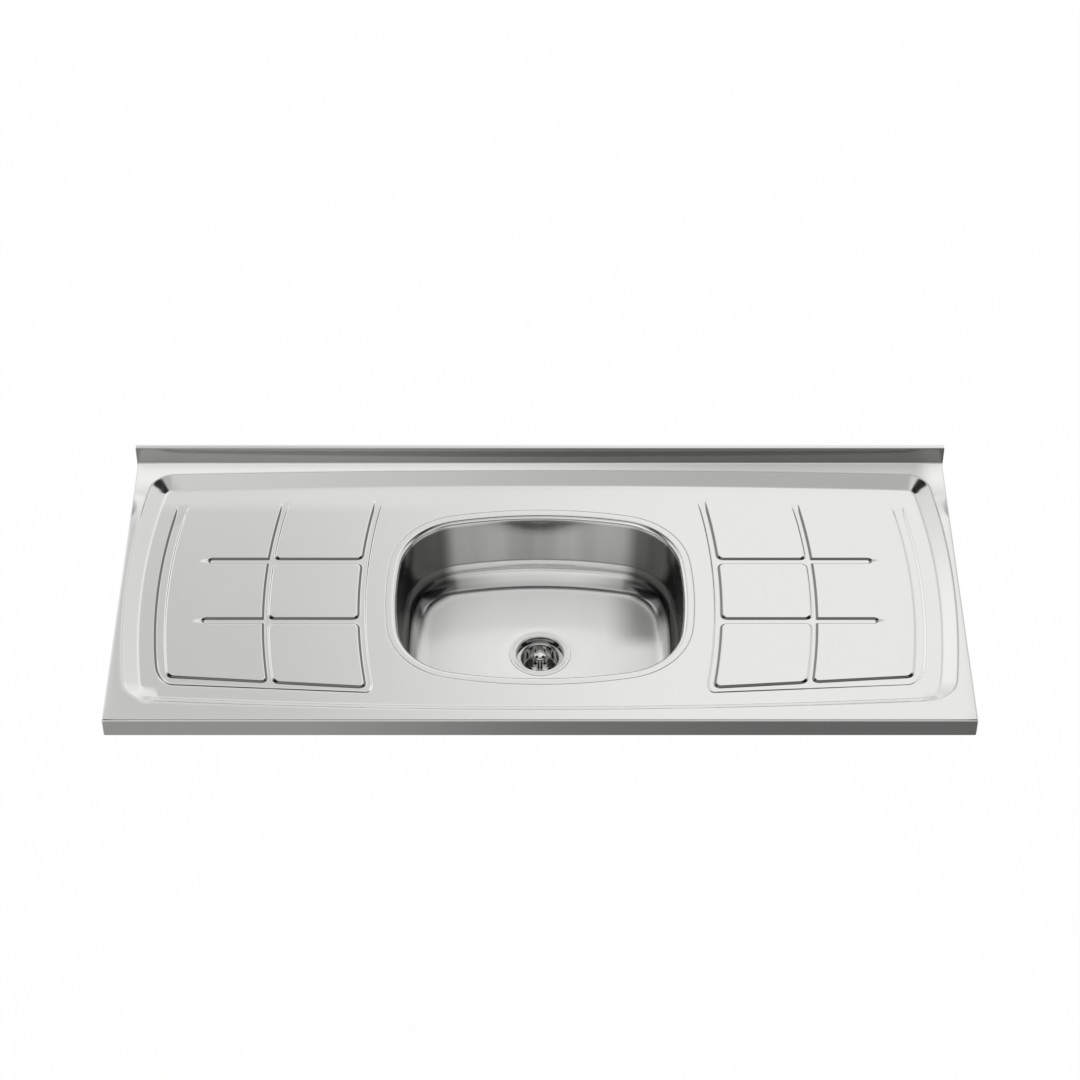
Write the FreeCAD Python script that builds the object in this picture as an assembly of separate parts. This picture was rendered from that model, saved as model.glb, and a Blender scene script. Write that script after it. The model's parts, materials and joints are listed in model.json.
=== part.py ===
import FreeCAD, Part
import math
import os

from FreeCAD import Vector

# Sink countertop of pressed stainless sheet. Millimetres. x runs along the length from the middle, y = 0 is the
# wall plane with the front at -y, and z = 0 is the plane on which the rim rests on its cabinet.

# Countertop
length = 1200.0
depth = 530.0
rim_height = 30.0
sheet = 0.8
rim_bend = 3.0
lip_width = 15.0

# Upstand along the wall
upstand_rise = 30.0
upstand_depth = 9.0
upstand_bend = 2.0

# Tray: the recessed field with bowed sides. Margins run from the edges of the top to the tray's corners.
tray_drop = 9.0
tray_side_margin = 26.0
tray_front_margin = 38.5
tray_rear_margin = 31.5
tray_side_bow = 19.0
tray_front_bow = 18.5
tray_rear_bow = 9.9
tray_front_radius = 36.0
tray_rear_radius = 30.0
slope_side = 24.0
slope_front = 16.0
slope_rear = 30.0

# Bowl, deep drawn, with a flat flange that is welded into the tray
bowl_half_length = 205.0
bowl_half_width = 161.0
bowl_end_bow = 16.0
bowl_long_bow = 28.0
bowl_corner_radius = 95.0
bowl_from_front = 253.0
bowl_depth = 121.0
bowl_floor_radius = 39.0
bowl_shoulder_radius = 6.5
bowl_flange = 15.0
seat_radius = 45.6
seat_draft = 0.8
drain_hole_radius = 40.0

# Drainboard pattern: pads left standing between pressed grooves. Distances along x run from the bowl's centre line
# to each bowed line at its middle.
groove_depth = 2.2
groove_wall = 3.0
pattern_bow_radius = 1060.0
pattern_middle = 268.0
pattern_inner_line = 247.5
pattern_outer_line = 548.5
pattern_rear_inner = 77.0
pattern_rear_outer = 90.0
pattern_front_inner = 471.0
pattern_front_outer = 454.5
pattern_inner_corner = 13.0
pattern_outer_corner = 22.0
pad_inner_line = 260.5
pad_middle_line = 384.5
pad_split = 11.5
pad_outer_line = 531.0
pad_rear = 66.0
pad_front_inner = 455.5
pad_front_outer = 435.5
pad_corner = 7.0
cross_groove = 13.0
cross_groove_rear = 207.5
cross_groove_front = 328.5
cross_groove_end = 480.0

# Timber core under the sheet
batten_width = 18.0
batten_easing = 2.5
end_batten_width = 19.0
cross_batten_width = 20.0
cross_batten_gap = 4.0
core_thickness = 15.0
core_bed = 0.2
board_gap = 2.0

# Damping pads under the bowl floor
pad_from_drain = 62.0
pad_length = 86.0
pad_width = 126.0
pad_thickness = 1.5
pad_round = 8.0

# Basket strainer: flanged cup, clamped through its floor to the moulded body under the bowl
cup_flange_radius = 44.5
cup_mouth_radius = 35.0
cup_ledge_drop = 10.0
cup_throat_radius = 30.6
cup_depth = 44.0
cup_hole_radius = 3.4
cup_hole_pitch = 12.0
cup_hole_count = 6
flange_seal_thickness = 1.2
flange_seal_inner = 38.0
body_seal_thickness = 2.0
body_rim_radius = 47.0
body_rim_thickness = 3.5
body_wall = 2.6
body_clearance = 3.0
body_floor_drop = 9.0
body_floor = 3.0
outlet_radius = 23.9
outlet_wall = 3.2
outlet_length = 27.0
hub_radius = 8.5
hub_length = 14.0
hub_web = 3.0
hub_web_height = 7.0
hub_web_count = 3
insert_radius = 4.6
insert_length = 10.0
clamp_radius = 3.0
clamp_length = 16.0
clamp_head_radius = 5.4
clamp_head_height = 2.6
clamp_slot_width = 1.3
clamp_slot_depth = 1.2

# Basket with its stem, which carries the knob above and the rubber stopper below
basket_seat_gap = 0.3
basket_rim_radius = 33.8
basket_wall_radius = 27.4
basket_slot_width = 2.6
basket_slot_height = 11.0
basket_slot_count = 12
basket_floor_hole_radius = 2.6
basket_floor_hole_pitch = 13.5
basket_floor_hole_count = 6
basket_turn_gap = 0.3
stem_radius = 3.0
stem_running_gap = 0.08
stem_collar_radius = 6.0
stem_collar_height = 2.4
neck_radius = 3.8
knob_radius = 9.5
knob_height = 8.0
knob_below_floor = 1.5
knob_edge = 3.4
knob_bevel = 4.6
washer_radius = 11.0
washer_thickness = 0.8
stopper_radius = 20.0
stopper_thickness = 2.2
stopper_lip = 3.0
nut_corner_radius = 5.6
nut_thickness = 2.4
stem_over_screw = 1.0

# One overrun for every cut that has to pass right through
overrun = 5.0

UP = Vector(0, 0, 1)
ledge_z = rim_height
tray_z = ledge_z - tray_drop
bowl_y = bowl_from_front - depth
floor_z = tray_z - bowl_depth
groove_z = tray_z - groove_depth
core_top = groove_z - sheet - core_bed
core_bottom = core_top - core_thickness
seat_drop = flange_seal_thickness + sheet
seat_z = floor_z - seat_drop
cup_floor_z = floor_z - cup_depth


def bowed_side(start, end, bow):
    """An edge that bulges by bow to the right of its run, which is outwards on a counter-clockwise outline."""
    if bow == 0:
        return Part.LineSegment(start, end).toShape()
    run = end - start
    outwards = Vector(run.y, -run.x, 0).normalize()
    return Part.Arc(start, (start + end) * 0.5 + outwards * bow, end).toShape()


def bowed_outline(corners, bows, radii, z):
    """A closed wire with bowed sides; radii[k] rounds the corner where side k ends."""
    points = [Vector(x, y, z) for x, y in corners]
    count = len(points)
    sides = [bowed_side(points[k], points[(k + 1) % count], bows[k]) for k in range(count)]
    plane = Part.Plane(Vector(0, 0, z), UP)
    rounds = []
    for k in range(count):
        following = (k + 1) % count
        tool = Part.ChFi2d.FilletAlgo(sides[k], sides[following], plane)
        tool.perform(radii[k])
        rounding, sides[k], sides[following] = tool.result(points[following], -1)
        rounds.append(rounding)
    return Part.Wire(Part.__sortEdges__(sides + rounds))


def between(lower, upper):
    """The solid between two outlines at different heights."""
    return Part.makeLoft([lower, upper], True, True)


def prism(wire, height):
    return Part.Face(wire).extrude(Vector(0, 0, height))


def moved(shape, x, y, z):
    copy = shape.copy()
    copy.translate(Vector(x, y, z))
    return copy


def box(x0, x1, y0, y1, z0, z1):
    return Part.makeBox(x1 - x0, y1 - y0, z1 - z0, Vector(x0, y0, z0))


def mirrored(shape):
    """The same shape on the other side of the middle of the countertop."""
    return shape.mirror(Vector(0, 0, 0), Vector(1, 0, 0))


def turned(points):
    """A solid of revolution about the drain's axis from (radius, z) points."""
    outline = Part.makePolygon([Vector(r, 0, z) for r, z in points + points[:1]])
    solid = Part.Face(outline).revolve(Vector(0, 0, 0), UP, 360)
    return moved(solid, 0, bowl_y, 0)


def filleted(shape, radius, wanted):
    return shape.makeFillet(radius, [edge for edge in shape.Edges if wanted(edge.BoundBox, edge)])


def flat_at(z, bounds):
    """True for bounds that lie wholly at height z."""
    return abs(bounds.ZMin - z) < sheet / 8 and abs(bounds.ZMax - z) < sheet / 8


# Pressed top

def top_block(inset):
    """The filled form under one skin of the sheet: inset is zero for the upper skin and the sheet for the lower."""
    bottom = inset
    front = -depth + inset
    ledge = ledge_z - inset
    face = -upstand_depth + inset
    crown = ledge_z + upstand_rise - inset
    profile = [(front, bottom), (front, ledge), (face, ledge), (face, crown), (-inset, crown), (-inset, bottom)]
    half = length / 2 - inset
    wire = Part.makePolygon([Vector(-half, y, z) for y, z in profile + profile[:1]])
    block = Part.Face(wire).extrude(Vector(2 * half, 0, 0))

    def along_x(bounds):
        return bounds.XLength > half

    def at(bounds, y, z):
        return abs(bounds.YMin - y) < sheet / 8 and abs(bounds.ZMin - z) < sheet / 8

    block = filleted(block, upstand_bend - inset, lambda b, e: along_x(b) and flat_at(crown, b))

    def rim_edge(bounds, edge):
        across = flat_at(ledge, bounds) and abs(bounds.XMax - bounds.XMin) < sheet / 8
        return across or (along_x(bounds) and at(bounds, front, ledge))

    return filleted(block, rim_bend - inset, rim_edge)


def tray_outline(z, side, front, rear):
    """The tray's outline at height z, drawn in from its crest by the given widths."""
    x = length / 2 - tray_side_margin - side
    rear_y = -tray_rear_margin - rear
    front_y = -depth + tray_front_margin + front
    corners = [(-x, rear_y), (-x, front_y), (x, front_y), (x, rear_y)]
    bows = [tray_side_bow, tray_front_bow, tray_side_bow, tray_rear_bow]
    radii = [tray_front_radius, tray_front_radius, tray_rear_radius, tray_rear_radius]
    return bowed_outline(corners, bows, radii, z)


def pressed(block, drop):
    """The block with the tray and its grooves pressed in; drop lowers the pressing for the lower skin."""
    crest = tray_outline(ledge_z - drop, 0, 0, 0)
    foot = tray_outline(tray_z - drop, slope_side, slope_front, slope_rear)
    block = block.cut(between(foot, crest))
    grooves = pattern_cut(tray_z - drop)
    return block.cut(grooves).cut(mirrored(grooves))


def line_x(middle_x, y):
    """x of a bowed line of the pattern at depth y, all lines bowed alike away from the bowl."""
    off = abs(y) - pattern_middle
    return middle_x - pattern_bow_radius + math.sqrt(pattern_bow_radius ** 2 - off ** 2)


def field(inner_line, outer_line, rear, front, radii, z):
    """A four-sided field between two bowed lines; rear and front give the distance from the wall at each line."""
    inner = [(line_x(inner_line, y), -y) for y in (rear[0], front[0])]
    outer = [(line_x(outer_line, y), -y) for y in (rear[1], front[1])]
    corners = [inner[0], inner[1], outer[1], outer[0]]

    def bow(start, end):
        chord = math.dist(start, end)
        return pattern_bow_radius - math.sqrt(pattern_bow_radius ** 2 - (chord / 2) ** 2)

    bows = [-bow(inner[0], inner[1]), 0, bow(outer[0], outer[1]), 0]
    return bowed_outline(corners, bows, radii, z)


def front_y(x):
    """Distance from the wall of the pads' front edge, which runs slightly aslant."""
    share = (x - pad_inner_line) / (pad_outer_line - pad_inner_line)
    return pad_front_inner + (pad_front_outer - pad_front_inner) * share


def pattern_cut(top):
    """The grooves of the right drainboard below height top."""
    bottom = top - groove_depth
    rear = (pattern_rear_inner, pattern_rear_outer)
    front = (pattern_front_inner, pattern_front_outer)
    radii = [pattern_inner_corner, pattern_outer_corner, pad_corner, pad_corner]
    rim = field(pattern_inner_line, pattern_outer_line, rear, front, radii, top)
    floor = moved(rim.makeOffset2D(-groove_wall), 0, 0, bottom - top)
    cut = between(floor, rim)

    half = cross_groove / 2
    rows = [(pad_rear, cross_groove_rear - half)]
    rows.append((cross_groove_rear + half, cross_groove_front - half))
    rows.append((cross_groove_front + half, None))
    columns = [(pad_inner_line, pad_middle_line, row) for row in rows]
    columns.append((pad_middle_line + pad_split, pad_outer_line, (pad_rear, None)))
    for inner_line, outer_line, (near, far) in columns:
        ends = (front_y(inner_line), front_y(outer_line)) if far is None else (far, far)
        pad = field(inner_line, outer_line, (near, near), ends, [pad_corner] * 4, top)
        foot = moved(pad.makeOffset2D(groove_wall), 0, 0, bottom - top)
        cut = cut.cut(between(foot, pad))

    for middle in (cross_groove_rear, cross_groove_front):
        cut = cut.fuse(slot_groove(middle, top, bottom))
    return cut


def slot_groove(middle, top, bottom):
    """A cross groove that runs from the middle line into the outer pad and ends rounded."""
    half = cross_groove / 2
    start = pad_middle_line + pad_split / 2
    end = cross_groove_end - half
    edges = [Part.LineSegment(Vector(end, -middle + half, top), Vector(start, -middle + half, top)).toShape()]
    edges.append(Part.LineSegment(Vector(start, -middle + half, top), Vector(start, -middle - half, top)).toShape())
    edges.append(Part.LineSegment(Vector(start, -middle - half, top), Vector(end, -middle - half, top)).toShape())
    tip = Vector(end + half, -middle, top)
    edges.append(Part.Arc(edges[-1].Vertexes[-1].Point, tip, edges[0].Vertexes[0].Point).toShape())
    rim = Part.Wire(edges)
    floor = moved(rim.makeOffset2D(-groove_wall), 0, 0, bottom - top)
    return between(floor, rim)


def make_top_sheet():
    upper = pressed(top_block(0), 0)
    lower = pressed(top_block(sheet), sheet)
    skin = upper.cut(lower)
    half = length / 2 - lip_width
    mouth = box(-half, half, -depth + lip_width, -lip_width, -overrun, sheet + overrun)
    skin = skin.cut(mouth)
    opening = prism(bowl_outline(bowl_flange, tray_z - overrun), overrun * 2)
    return skin.cut(opening)


# Bowl

def bowl_outline(grown, z):
    """The bowl's plan at height z, larger than its mouth by grown all round."""
    x = bowl_half_length - bowl_end_bow + grown
    y = bowl_half_width - bowl_long_bow + grown
    corners = [(-x, bowl_y + y), (-x, bowl_y - y), (x, bowl_y - y), (x, bowl_y + y)]
    bows = [bowl_end_bow, bowl_long_bow, bowl_end_bow, bowl_long_bow]
    return bowed_outline(corners, bows, [bowl_corner_radius + grown] * 4, z)


def rounded_in_flats(shape, radius, z, loop):
    """Rounds the edges of a loop at height z with three flats that touch the arc of the radius."""
    near = 2 - math.sqrt(2)
    far = math.tan(math.pi / 8) - math.tan(math.pi / 16)
    shape = shape.makeChamfer(radius * near, [e for e in shape.Edges if flat_at(z, e.BoundBox) and loop(e)])
    kinks = [e for e in shape.Edges if kink_of(e, z, radius * near) and loop(e)]
    return shape.makeChamfer(radius * far, kinks)


def kink_of(edge, z, reach):
    """True for an edge of the first flat, at height z or at its reach above or below z."""
    bounds = edge.BoundBox
    return any(flat_at(level, bounds) for level in (z, z + reach, z - reach))


def bowl_block(drop):
    """The filled form under one skin of the bowl, from its flange down."""
    low = floor_z - bowl_floor_radius
    top = tray_z - drop
    block = prism(bowl_outline(bowl_flange, low), top - low)
    cavity = prism(bowl_outline(drop, floor_z - drop), top - floor_z + drop)
    cavity = rounded_in_flats(cavity, bowl_floor_radius + drop, floor_z - drop, lambda e: True)
    block = block.cut(cavity)
    bevel = (bowl_shoulder_radius - drop) * (2 - math.sqrt(2))
    mouth = [e for e in block.Edges if flat_at(top, e.BoundBox) and not on_flange_edge(e)]
    block = block.makeChamfer(bevel, mouth)
    seat = Part.makeCone(seat_radius - seat_draft, seat_radius, seat_drop, Vector(0, bowl_y, seat_z - drop), UP)
    return block.cut(seat)


def on_flange_edge(edge):
    """True for an edge of the bowl's outer flange outline."""
    place = edge.Vertexes[0].Point
    rim = bowl_outline(bowl_flange, place.z)
    return rim.distToShape(Part.Vertex(place))[0] < sheet / 8


def make_bowl():
    shell = bowl_block(0).cut(bowl_block(sheet))
    hole = Part.makeCylinder(drain_hole_radius, overrun * 2, Vector(0, bowl_y, seat_z - sheet - overrun), UP)
    return shell.cut(hole)


# Timber core

def batten(x0, x1, y0, y1, z1):
    """A batten that rests on the rim's lip, with its top edges eased to clear the sheet's bends."""
    bar = box(x0, x1, y0, y1, sheet, z1)
    return bar.makeChamfer(batten_easing, [e for e in bar.Edges if flat_at(z1, e.BoundBox)])


def make_battens():
    half = length / 2 - sheet
    top = ledge_z - sheet
    front = batten(-half, half, -depth + sheet, -depth + sheet + batten_width, top)
    rear = batten(-half, half, -sheet - batten_width, -sheet, top)
    inner_rear = -sheet - batten_width
    inner_front = -depth + sheet + batten_width
    right = batten(half - end_batten_width, half, inner_front, inner_rear, core_top)
    near = bowl_half_length + bowl_flange + cross_batten_gap
    far = near + cross_batten_width
    cross = box(near, far, inner_front, inner_rear, core_bottom, core_top)
    parts = {"front_batten": front, "rear_batten": rear}
    parts["right_end_batten"] = right
    parts["left_end_batten"] = mirrored(right)
    parts["right_cross_batten"] = cross
    parts["left_cross_batten"] = mirrored(cross)
    return parts


def make_board():
    """The particle board glued under the right drainboard, between the battens."""
    near = bowl_half_length + bowl_flange + cross_batten_gap + cross_batten_width + board_gap
    far = length / 2 - sheet - end_batten_width
    rear = -sheet - batten_width
    front = -depth + sheet + batten_width
    return box(near, far, front, rear, core_bottom, core_top)


# Damping

def make_damping_pad():
    y0 = bowl_y - pad_width / 2
    top = floor_z - sheet
    pad = box(pad_from_drain, pad_from_drain + pad_length, y0, y0 + pad_width, top - pad_thickness, top)
    return filleted(pad, pad_round, lambda b, e: b.ZLength > pad_thickness / 2)


# Drain

def cup_skin(offset):
    """(radius, z) points down one skin of the cup; offset is zero inside and the sheet outside."""
    top = floor_z - offset
    ledge = floor_z - cup_ledge_drop - offset
    mouth = cup_mouth_radius + offset
    throat = cup_throat_radius + offset
    return [(cup_flange_radius, top), (mouth, top), (mouth, ledge), (throat, ledge), (throat, cup_floor_z - offset)]


def make_drain_cup():
    bore = [(clamp_radius, cup_floor_z), (clamp_radius, cup_floor_z - sheet)]
    cup = turned(cup_skin(0) + bore + cup_skin(sheet)[::-1])
    return cup.cut(ring_of_holes(cup_hole_radius, cup_hole_pitch, cup_hole_count, cup_floor_z))


def ring_of_holes(radius, pitch, count, z):
    """Upright cutters on a circle about the drain's axis, through a sheet at height z."""
    cutters = []
    for k in range(count):
        angle = 2 * math.pi * k / count
        place = Vector(pitch * math.cos(angle), bowl_y + pitch * math.sin(angle), z - overrun)
        cutters.append(Part.makeCylinder(radius, overrun * 2, place, UP))
    return Part.makeCompound(cutters)


def ring(inner, outer, z0, z1):
    return turned([(inner, z0), (outer, z0), (outer, z1), (inner, z1)])


def make_flange_seal():
    return ring(flange_seal_inner, cup_flange_radius, seat_z, seat_z + flange_seal_thickness)


def make_body_seal():
    top = seat_z - sheet
    return ring(drain_hole_radius, seat_radius - seat_draft, top - body_seal_thickness, top)


def make_drain_body():
    """The moulded body: rim, pot and outlet tube, with a hub on webs that takes the clamping screw."""
    top = seat_z - sheet - body_seal_thickness
    under_rim = top - body_rim_thickness
    pot_inner = cup_mouth_radius + body_clearance
    pot_outer = pot_inner + body_wall
    hub_top = cup_floor_z - sheet
    pot_floor = hub_top - body_floor_drop
    pot_under = pot_floor - body_floor
    outlet_inner = outlet_radius - outlet_wall
    end = pot_under - outlet_length
    outside = [(body_rim_radius, top), (body_rim_radius, under_rim), (pot_outer, under_rim), (pot_outer, pot_under)]
    outside += [(outlet_radius, pot_under), (outlet_radius, end)]
    inside = [(outlet_inner, end), (outlet_inner, pot_floor), (pot_inner, pot_floor), (pot_inner, top)]
    body = turned(outside + inside)
    hub = ring(0, hub_radius, hub_top - hub_length, hub_top)
    webs = []
    for k in range(hub_web_count):
        web = box(0, pot_inner + body_wall / 2, -hub_web / 2, hub_web / 2, pot_floor, pot_floor + hub_web_height)
        web.rotate(Vector(0, 0, 0), UP, 360 * k / hub_web_count + 90)
        webs.append(moved(web, 0, bowl_y, 0))
    body = body.multiFuse([hub] + webs)
    bore = ring(0, clamp_radius, hub_top - hub_length - overrun, hub_top + overrun)
    pocket = six_sided(insert_radius, hub_top - hub_length, hub_top - hub_length + insert_length)
    return body.cut(bore).cut(pocket)


def six_sided(radius, z0, z1):
    """A hexagonal bar about the drain's axis; radius runs to its corners."""
    corners = [Vector(radius * math.cos(math.pi * k / 3), radius * math.sin(math.pi * k / 3), z0) for k in range(6)]
    bar = Part.Face(Part.makePolygon(corners + corners[:1])).extrude(Vector(0, 0, z1 - z0))
    return moved(bar, 0, bowl_y, 0)


def make_hub_insert():
    low = cup_floor_z - sheet - hub_length
    bore = ring(0, clamp_radius, low - overrun, low + insert_length + overrun)
    return six_sided(insert_radius, low, low + insert_length).cut(bore)


def make_clamp_screw():
    shank = ring(0, clamp_radius, cup_floor_z - clamp_length, cup_floor_z)
    edge = clamp_head_radius - clamp_head_height / 2
    top = cup_floor_z + clamp_head_height
    head = turned([(0, cup_floor_z), (clamp_head_radius, cup_floor_z), (edge, top), (0, top)])
    slot = box(-overrun * 2, overrun * 2, bowl_y - clamp_slot_width / 2, bowl_y + clamp_slot_width / 2,
               top - clamp_slot_depth, top + overrun)
    return shank.fuse(head).cut(slot)


# Basket and stem, stacked upwards from the cup floor

stem_end = cup_floor_z + clamp_head_height + stem_over_screw
nut_top = stem_end + nut_thickness
stopper_top = nut_top + stopper_thickness
washer_top = stopper_top + washer_thickness
basket_bottom = washer_top + basket_turn_gap
basket_rim_z = floor_z - cup_ledge_drop + basket_seat_gap + sheet
collar_z = basket_bottom + sheet + basket_turn_gap
knob_top = floor_z - knob_below_floor


def basket_skin(offset):
    """(radius, z) points down one skin of the basket; offset is zero inside and the sheet outside."""
    wall = basket_wall_radius + offset
    rim_z = basket_rim_z - offset
    return [(basket_rim_radius, rim_z), (wall, rim_z), (wall, basket_bottom + sheet - offset)]


def make_basket():
    bore_radius = stem_radius + stem_running_gap
    bore = [(bore_radius, basket_bottom + sheet), (bore_radius, basket_bottom)]
    basket = turned(basket_skin(0) + bore + basket_skin(sheet)[::-1])
    holes = ring_of_holes(basket_floor_hole_radius, basket_floor_hole_pitch, basket_floor_hole_count, basket_bottom)
    low = (basket_bottom + basket_rim_z - basket_slot_height) / 2
    for k in range(basket_slot_count):
        half = basket_slot_width / 2
        slot = box(basket_floor_hole_pitch, basket_rim_radius, -half, half, low, low + basket_slot_height)
        slot.rotate(Vector(0, 0, 0), UP, 360 * (k + 1 / 2) / basket_slot_count)
        basket = basket.cut(moved(slot, 0, bowl_y, 0))
    return basket.cut(holes)


def make_basket_knob():
    """Stem, collar, neck and crowned knob, turned from one bar."""
    under = knob_top - knob_height
    collar_top = collar_z + stem_collar_height
    side = under + knob_edge
    points = [(0, stem_end), (stem_radius, stem_end), (stem_radius, collar_z), (stem_collar_radius, collar_z)]
    points += [(stem_collar_radius, collar_top), (neck_radius, collar_top)]
    points += [(neck_radius, under), (knob_radius, under), (knob_radius, side)]
    points += [(knob_radius - knob_bevel, knob_top), (0, knob_top)]
    return turned(points)


def make_stem_washer():
    return ring(stem_radius, washer_radius, stopper_top, washer_top)


def make_stopper():
    """The rubber stopper: a disc on the stem with a skirt that closes on the cup floor round its holes."""
    low = cup_floor_z + basket_seat_gap
    inner = stopper_radius - stopper_lip
    points = [(stem_radius, nut_top), (inner, nut_top), (inner, low), (stopper_radius, low)]
    points += [(stopper_radius, stopper_top), (stem_radius, stopper_top)]
    return turned(points)


def make_stem_nut():
    return six_sided(nut_corner_radius, stem_end, nut_top).cut(ring(0, stem_radius, stem_end, nut_top))


def all_parts():
    parts = {"top_sheet": make_top_sheet(), "bowl": make_bowl()}
    parts.update(make_battens())
    board = make_board()
    pad = make_damping_pad()
    for name, shape in (("drainer_board", board), ("damping_pad", pad)):
        parts["right_" + name] = shape
        parts["left_" + name] = mirrored(shape)
    parts["drain_cup"] = make_drain_cup()
    parts["flange_seal"] = make_flange_seal()
    parts["body_seal"] = make_body_seal()
    parts["drain_body"] = make_drain_body()
    parts["hub_insert"] = make_hub_insert()
    parts["clamp_screw"] = make_clamp_screw()
    parts["basket"] = make_basket()
    parts["basket_knob"] = make_basket_knob()
    parts["stem_washer"] = make_stem_washer()
    parts["stopper"] = make_stopper()
    parts["stem_nut"] = make_stem_nut()
    return parts


os.makedirs("parts", exist_ok=True)
for node, shape in all_parts().items():
    shape.exportStep("parts/" + node + ".step")
    box_of = shape.BoundBox
    print(f"{node:20s} solids {len(shape.Solids)} faces {len(shape.Faces):4d} volume {shape.Volume:12.1f} "
          f"valid {shape.isValid()} x {box_of.XMin:8.2f} {box_of.XMax:8.2f} y {box_of.YMin:8.2f} {box_of.YMax:8.2f} "
          f"z {box_of.ZMin:8.2f} {box_of.ZMax:8.2f}")
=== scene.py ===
# %% [markdown]
# A lay-on sink countertop is one long sheet of stainless steel, pressed and folded in a few strokes, with
# a deep drawn bowl welded into it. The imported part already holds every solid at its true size, so this
# notebook dresses it: the pressed pieces are drawn again with real bend radii, and every other node gets
# its own finish.

import json
import math

import bmesh
import bpy
import numpy as np
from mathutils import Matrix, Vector


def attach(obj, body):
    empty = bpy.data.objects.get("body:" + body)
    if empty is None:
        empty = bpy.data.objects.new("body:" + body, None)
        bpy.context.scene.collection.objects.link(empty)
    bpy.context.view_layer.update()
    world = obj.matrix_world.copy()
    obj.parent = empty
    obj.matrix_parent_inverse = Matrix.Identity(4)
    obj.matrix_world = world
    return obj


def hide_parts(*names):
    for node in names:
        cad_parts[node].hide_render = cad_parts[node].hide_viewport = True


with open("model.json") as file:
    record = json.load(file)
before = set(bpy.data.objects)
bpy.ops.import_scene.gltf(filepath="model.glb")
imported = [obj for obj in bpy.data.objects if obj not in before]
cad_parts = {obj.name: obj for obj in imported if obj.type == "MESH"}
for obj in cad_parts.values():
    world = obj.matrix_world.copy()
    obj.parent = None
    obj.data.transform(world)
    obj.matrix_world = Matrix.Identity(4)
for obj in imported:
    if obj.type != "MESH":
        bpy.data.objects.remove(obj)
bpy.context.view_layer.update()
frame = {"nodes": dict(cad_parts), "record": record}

# %% [markdown]
# Sheet metal is drawn in millimetres, so the meshes here are worked out in millimetres as arrays of points
# and only become metres when they turn into an object. One function makes every mesh: it welds nothing and
# guesses nothing, it only lays faces over points, shades them smooth and marks real creases as sharp.

# %% From points in millimetres to an object
METRE = 0.001
CREASE = math.radians(38)


def creased(mesh):
    """Smooth faces, with a sharp edge wherever two faces meet at a real crease."""
    mesh.polygons.foreach_set("use_smooth", [True] * len(mesh.polygons))
    mesh.set_sharp_from_angle(angle=CREASE)
    mesh.update()


def shown(name, points, faces):
    """An object in the scene, made from points in millimetres."""
    mesh = bpy.data.meshes.new(name)
    mesh.from_pydata([tuple(p * METRE) for p in np.asarray(points, float)], [], faces)
    creased(mesh)
    piece = bpy.data.objects.new(name, mesh)
    bpy.context.scene.collection.objects.link(piece)
    return piece


def thickened(piece, thickness):
    """Gives an open skin the sheet's thickness, grown away from its outer face."""
    grow = piece.modifiers.new("thickness", "SOLIDIFY")
    grow.thickness = thickness * METRE
    grow.offset = -1
    return piece


def strip(first, second, closed=False):
    """Faces between two rows of equally many point numbers."""
    count = len(first)
    steps = range(count if closed else count - 1)
    return [(first[k], first[(k + 1) % count], second[(k + 1) % count], second[k]) for k in steps]


# %% [markdown]
# A press tool is smooth everywhere, but a mesh is not, so the points have to be dense where the steel
# bends and may be sparse where it is flat. The lines of the mesh are therefore set by bands: fine inside a
# band, coarse outside. A subdivided plane would spend as many points on the flat fields as on the bends.

# %% Lines that are dense where the steel bends
WALL_STEP, BEND_STEP, FLAT_STEP = 0.84, 2.0, 16.0


def lines(start, end, bands):
    """Rising positions from start to end; each band is (low, high, spacing)."""
    stops = sorted({start, end} | {edge for band in bands for edge in band[:2]})
    places = [start]
    for low, high in zip(stops, stops[1:]):
        spacing = min([step for a, b, step in bands if a <= low and high <= b], default=FLAT_STEP)
        count = math.ceil((high - low) / spacing)
        places += list(np.linspace(low, high, count + 1)[1:])
    return np.array(places)


# %% [markdown]
# Every pressed outline here is a four-sided field with slightly bowed sides and rounded corners: the tray,
# the drainboard pattern and its pads. Instead of drawing each outline as a curve, I work out for every
# point of the mesh how far it lies inside the outline. That distance says how far down a groove's wall the
# point is, so one formula presses the whole sheet and the walls keep their width round every corner.

# %% Distance inside a bowed outline
def inside_side(x, y, start, end, bow):
    """Distance to the left of a side from start to end; bow makes the side bulge to its right."""
    (x0, y0), (x1, y1) = start, end
    run = math.hypot(x1 - x0, y1 - y0)
    out_x, out_y = (y1 - y0) / run, -(x1 - x0) / run
    if bow == 0:
        return -((x - x0) * out_x + (y - y0) * out_y)
    radius = (run ** 2 / 4 + bow ** 2) / (2 * abs(bow))
    back = math.copysign(radius - abs(bow), bow)
    centre_x = (x0 + x1) / 2 - out_x * back
    centre_y = (y0 + y1) / 2 - out_y * back
    return math.copysign(1, bow) * (radius - np.hypot(x - centre_x, y - centre_y))


def rounded(a, b, radius):
    """The nearer of two sides, with the corner between them rounded."""
    beyond = np.hypot(np.minimum(a - radius, 0), np.minimum(b - radius, 0))
    return radius - beyond - np.minimum(np.maximum(radius - a, radius - b), 0)


def inside_sides(sides, radii):
    """Distance inside all sides of a field; radii[k] rounds the corner where side k ends."""
    count = len(sides)
    return np.minimum.reduce([rounded(sides[k], sides[(k + 1) % count], radii[k]) for k in range(count)])


def eased(share, bend):
    """A slope from 0 to 1 with its foot and crest rounded over the share given by bend."""
    share = np.clip(share, 0, 1)
    steep = 1 / (1 - bend)
    foot = steep * share ** 2 / (2 * bend)
    crest = 1 - steep * (1 - share) ** 2 / (2 * bend)
    return np.where(share < bend, foot, np.where(share > 1 - bend, crest, steep * (share - bend / 2)))


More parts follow.
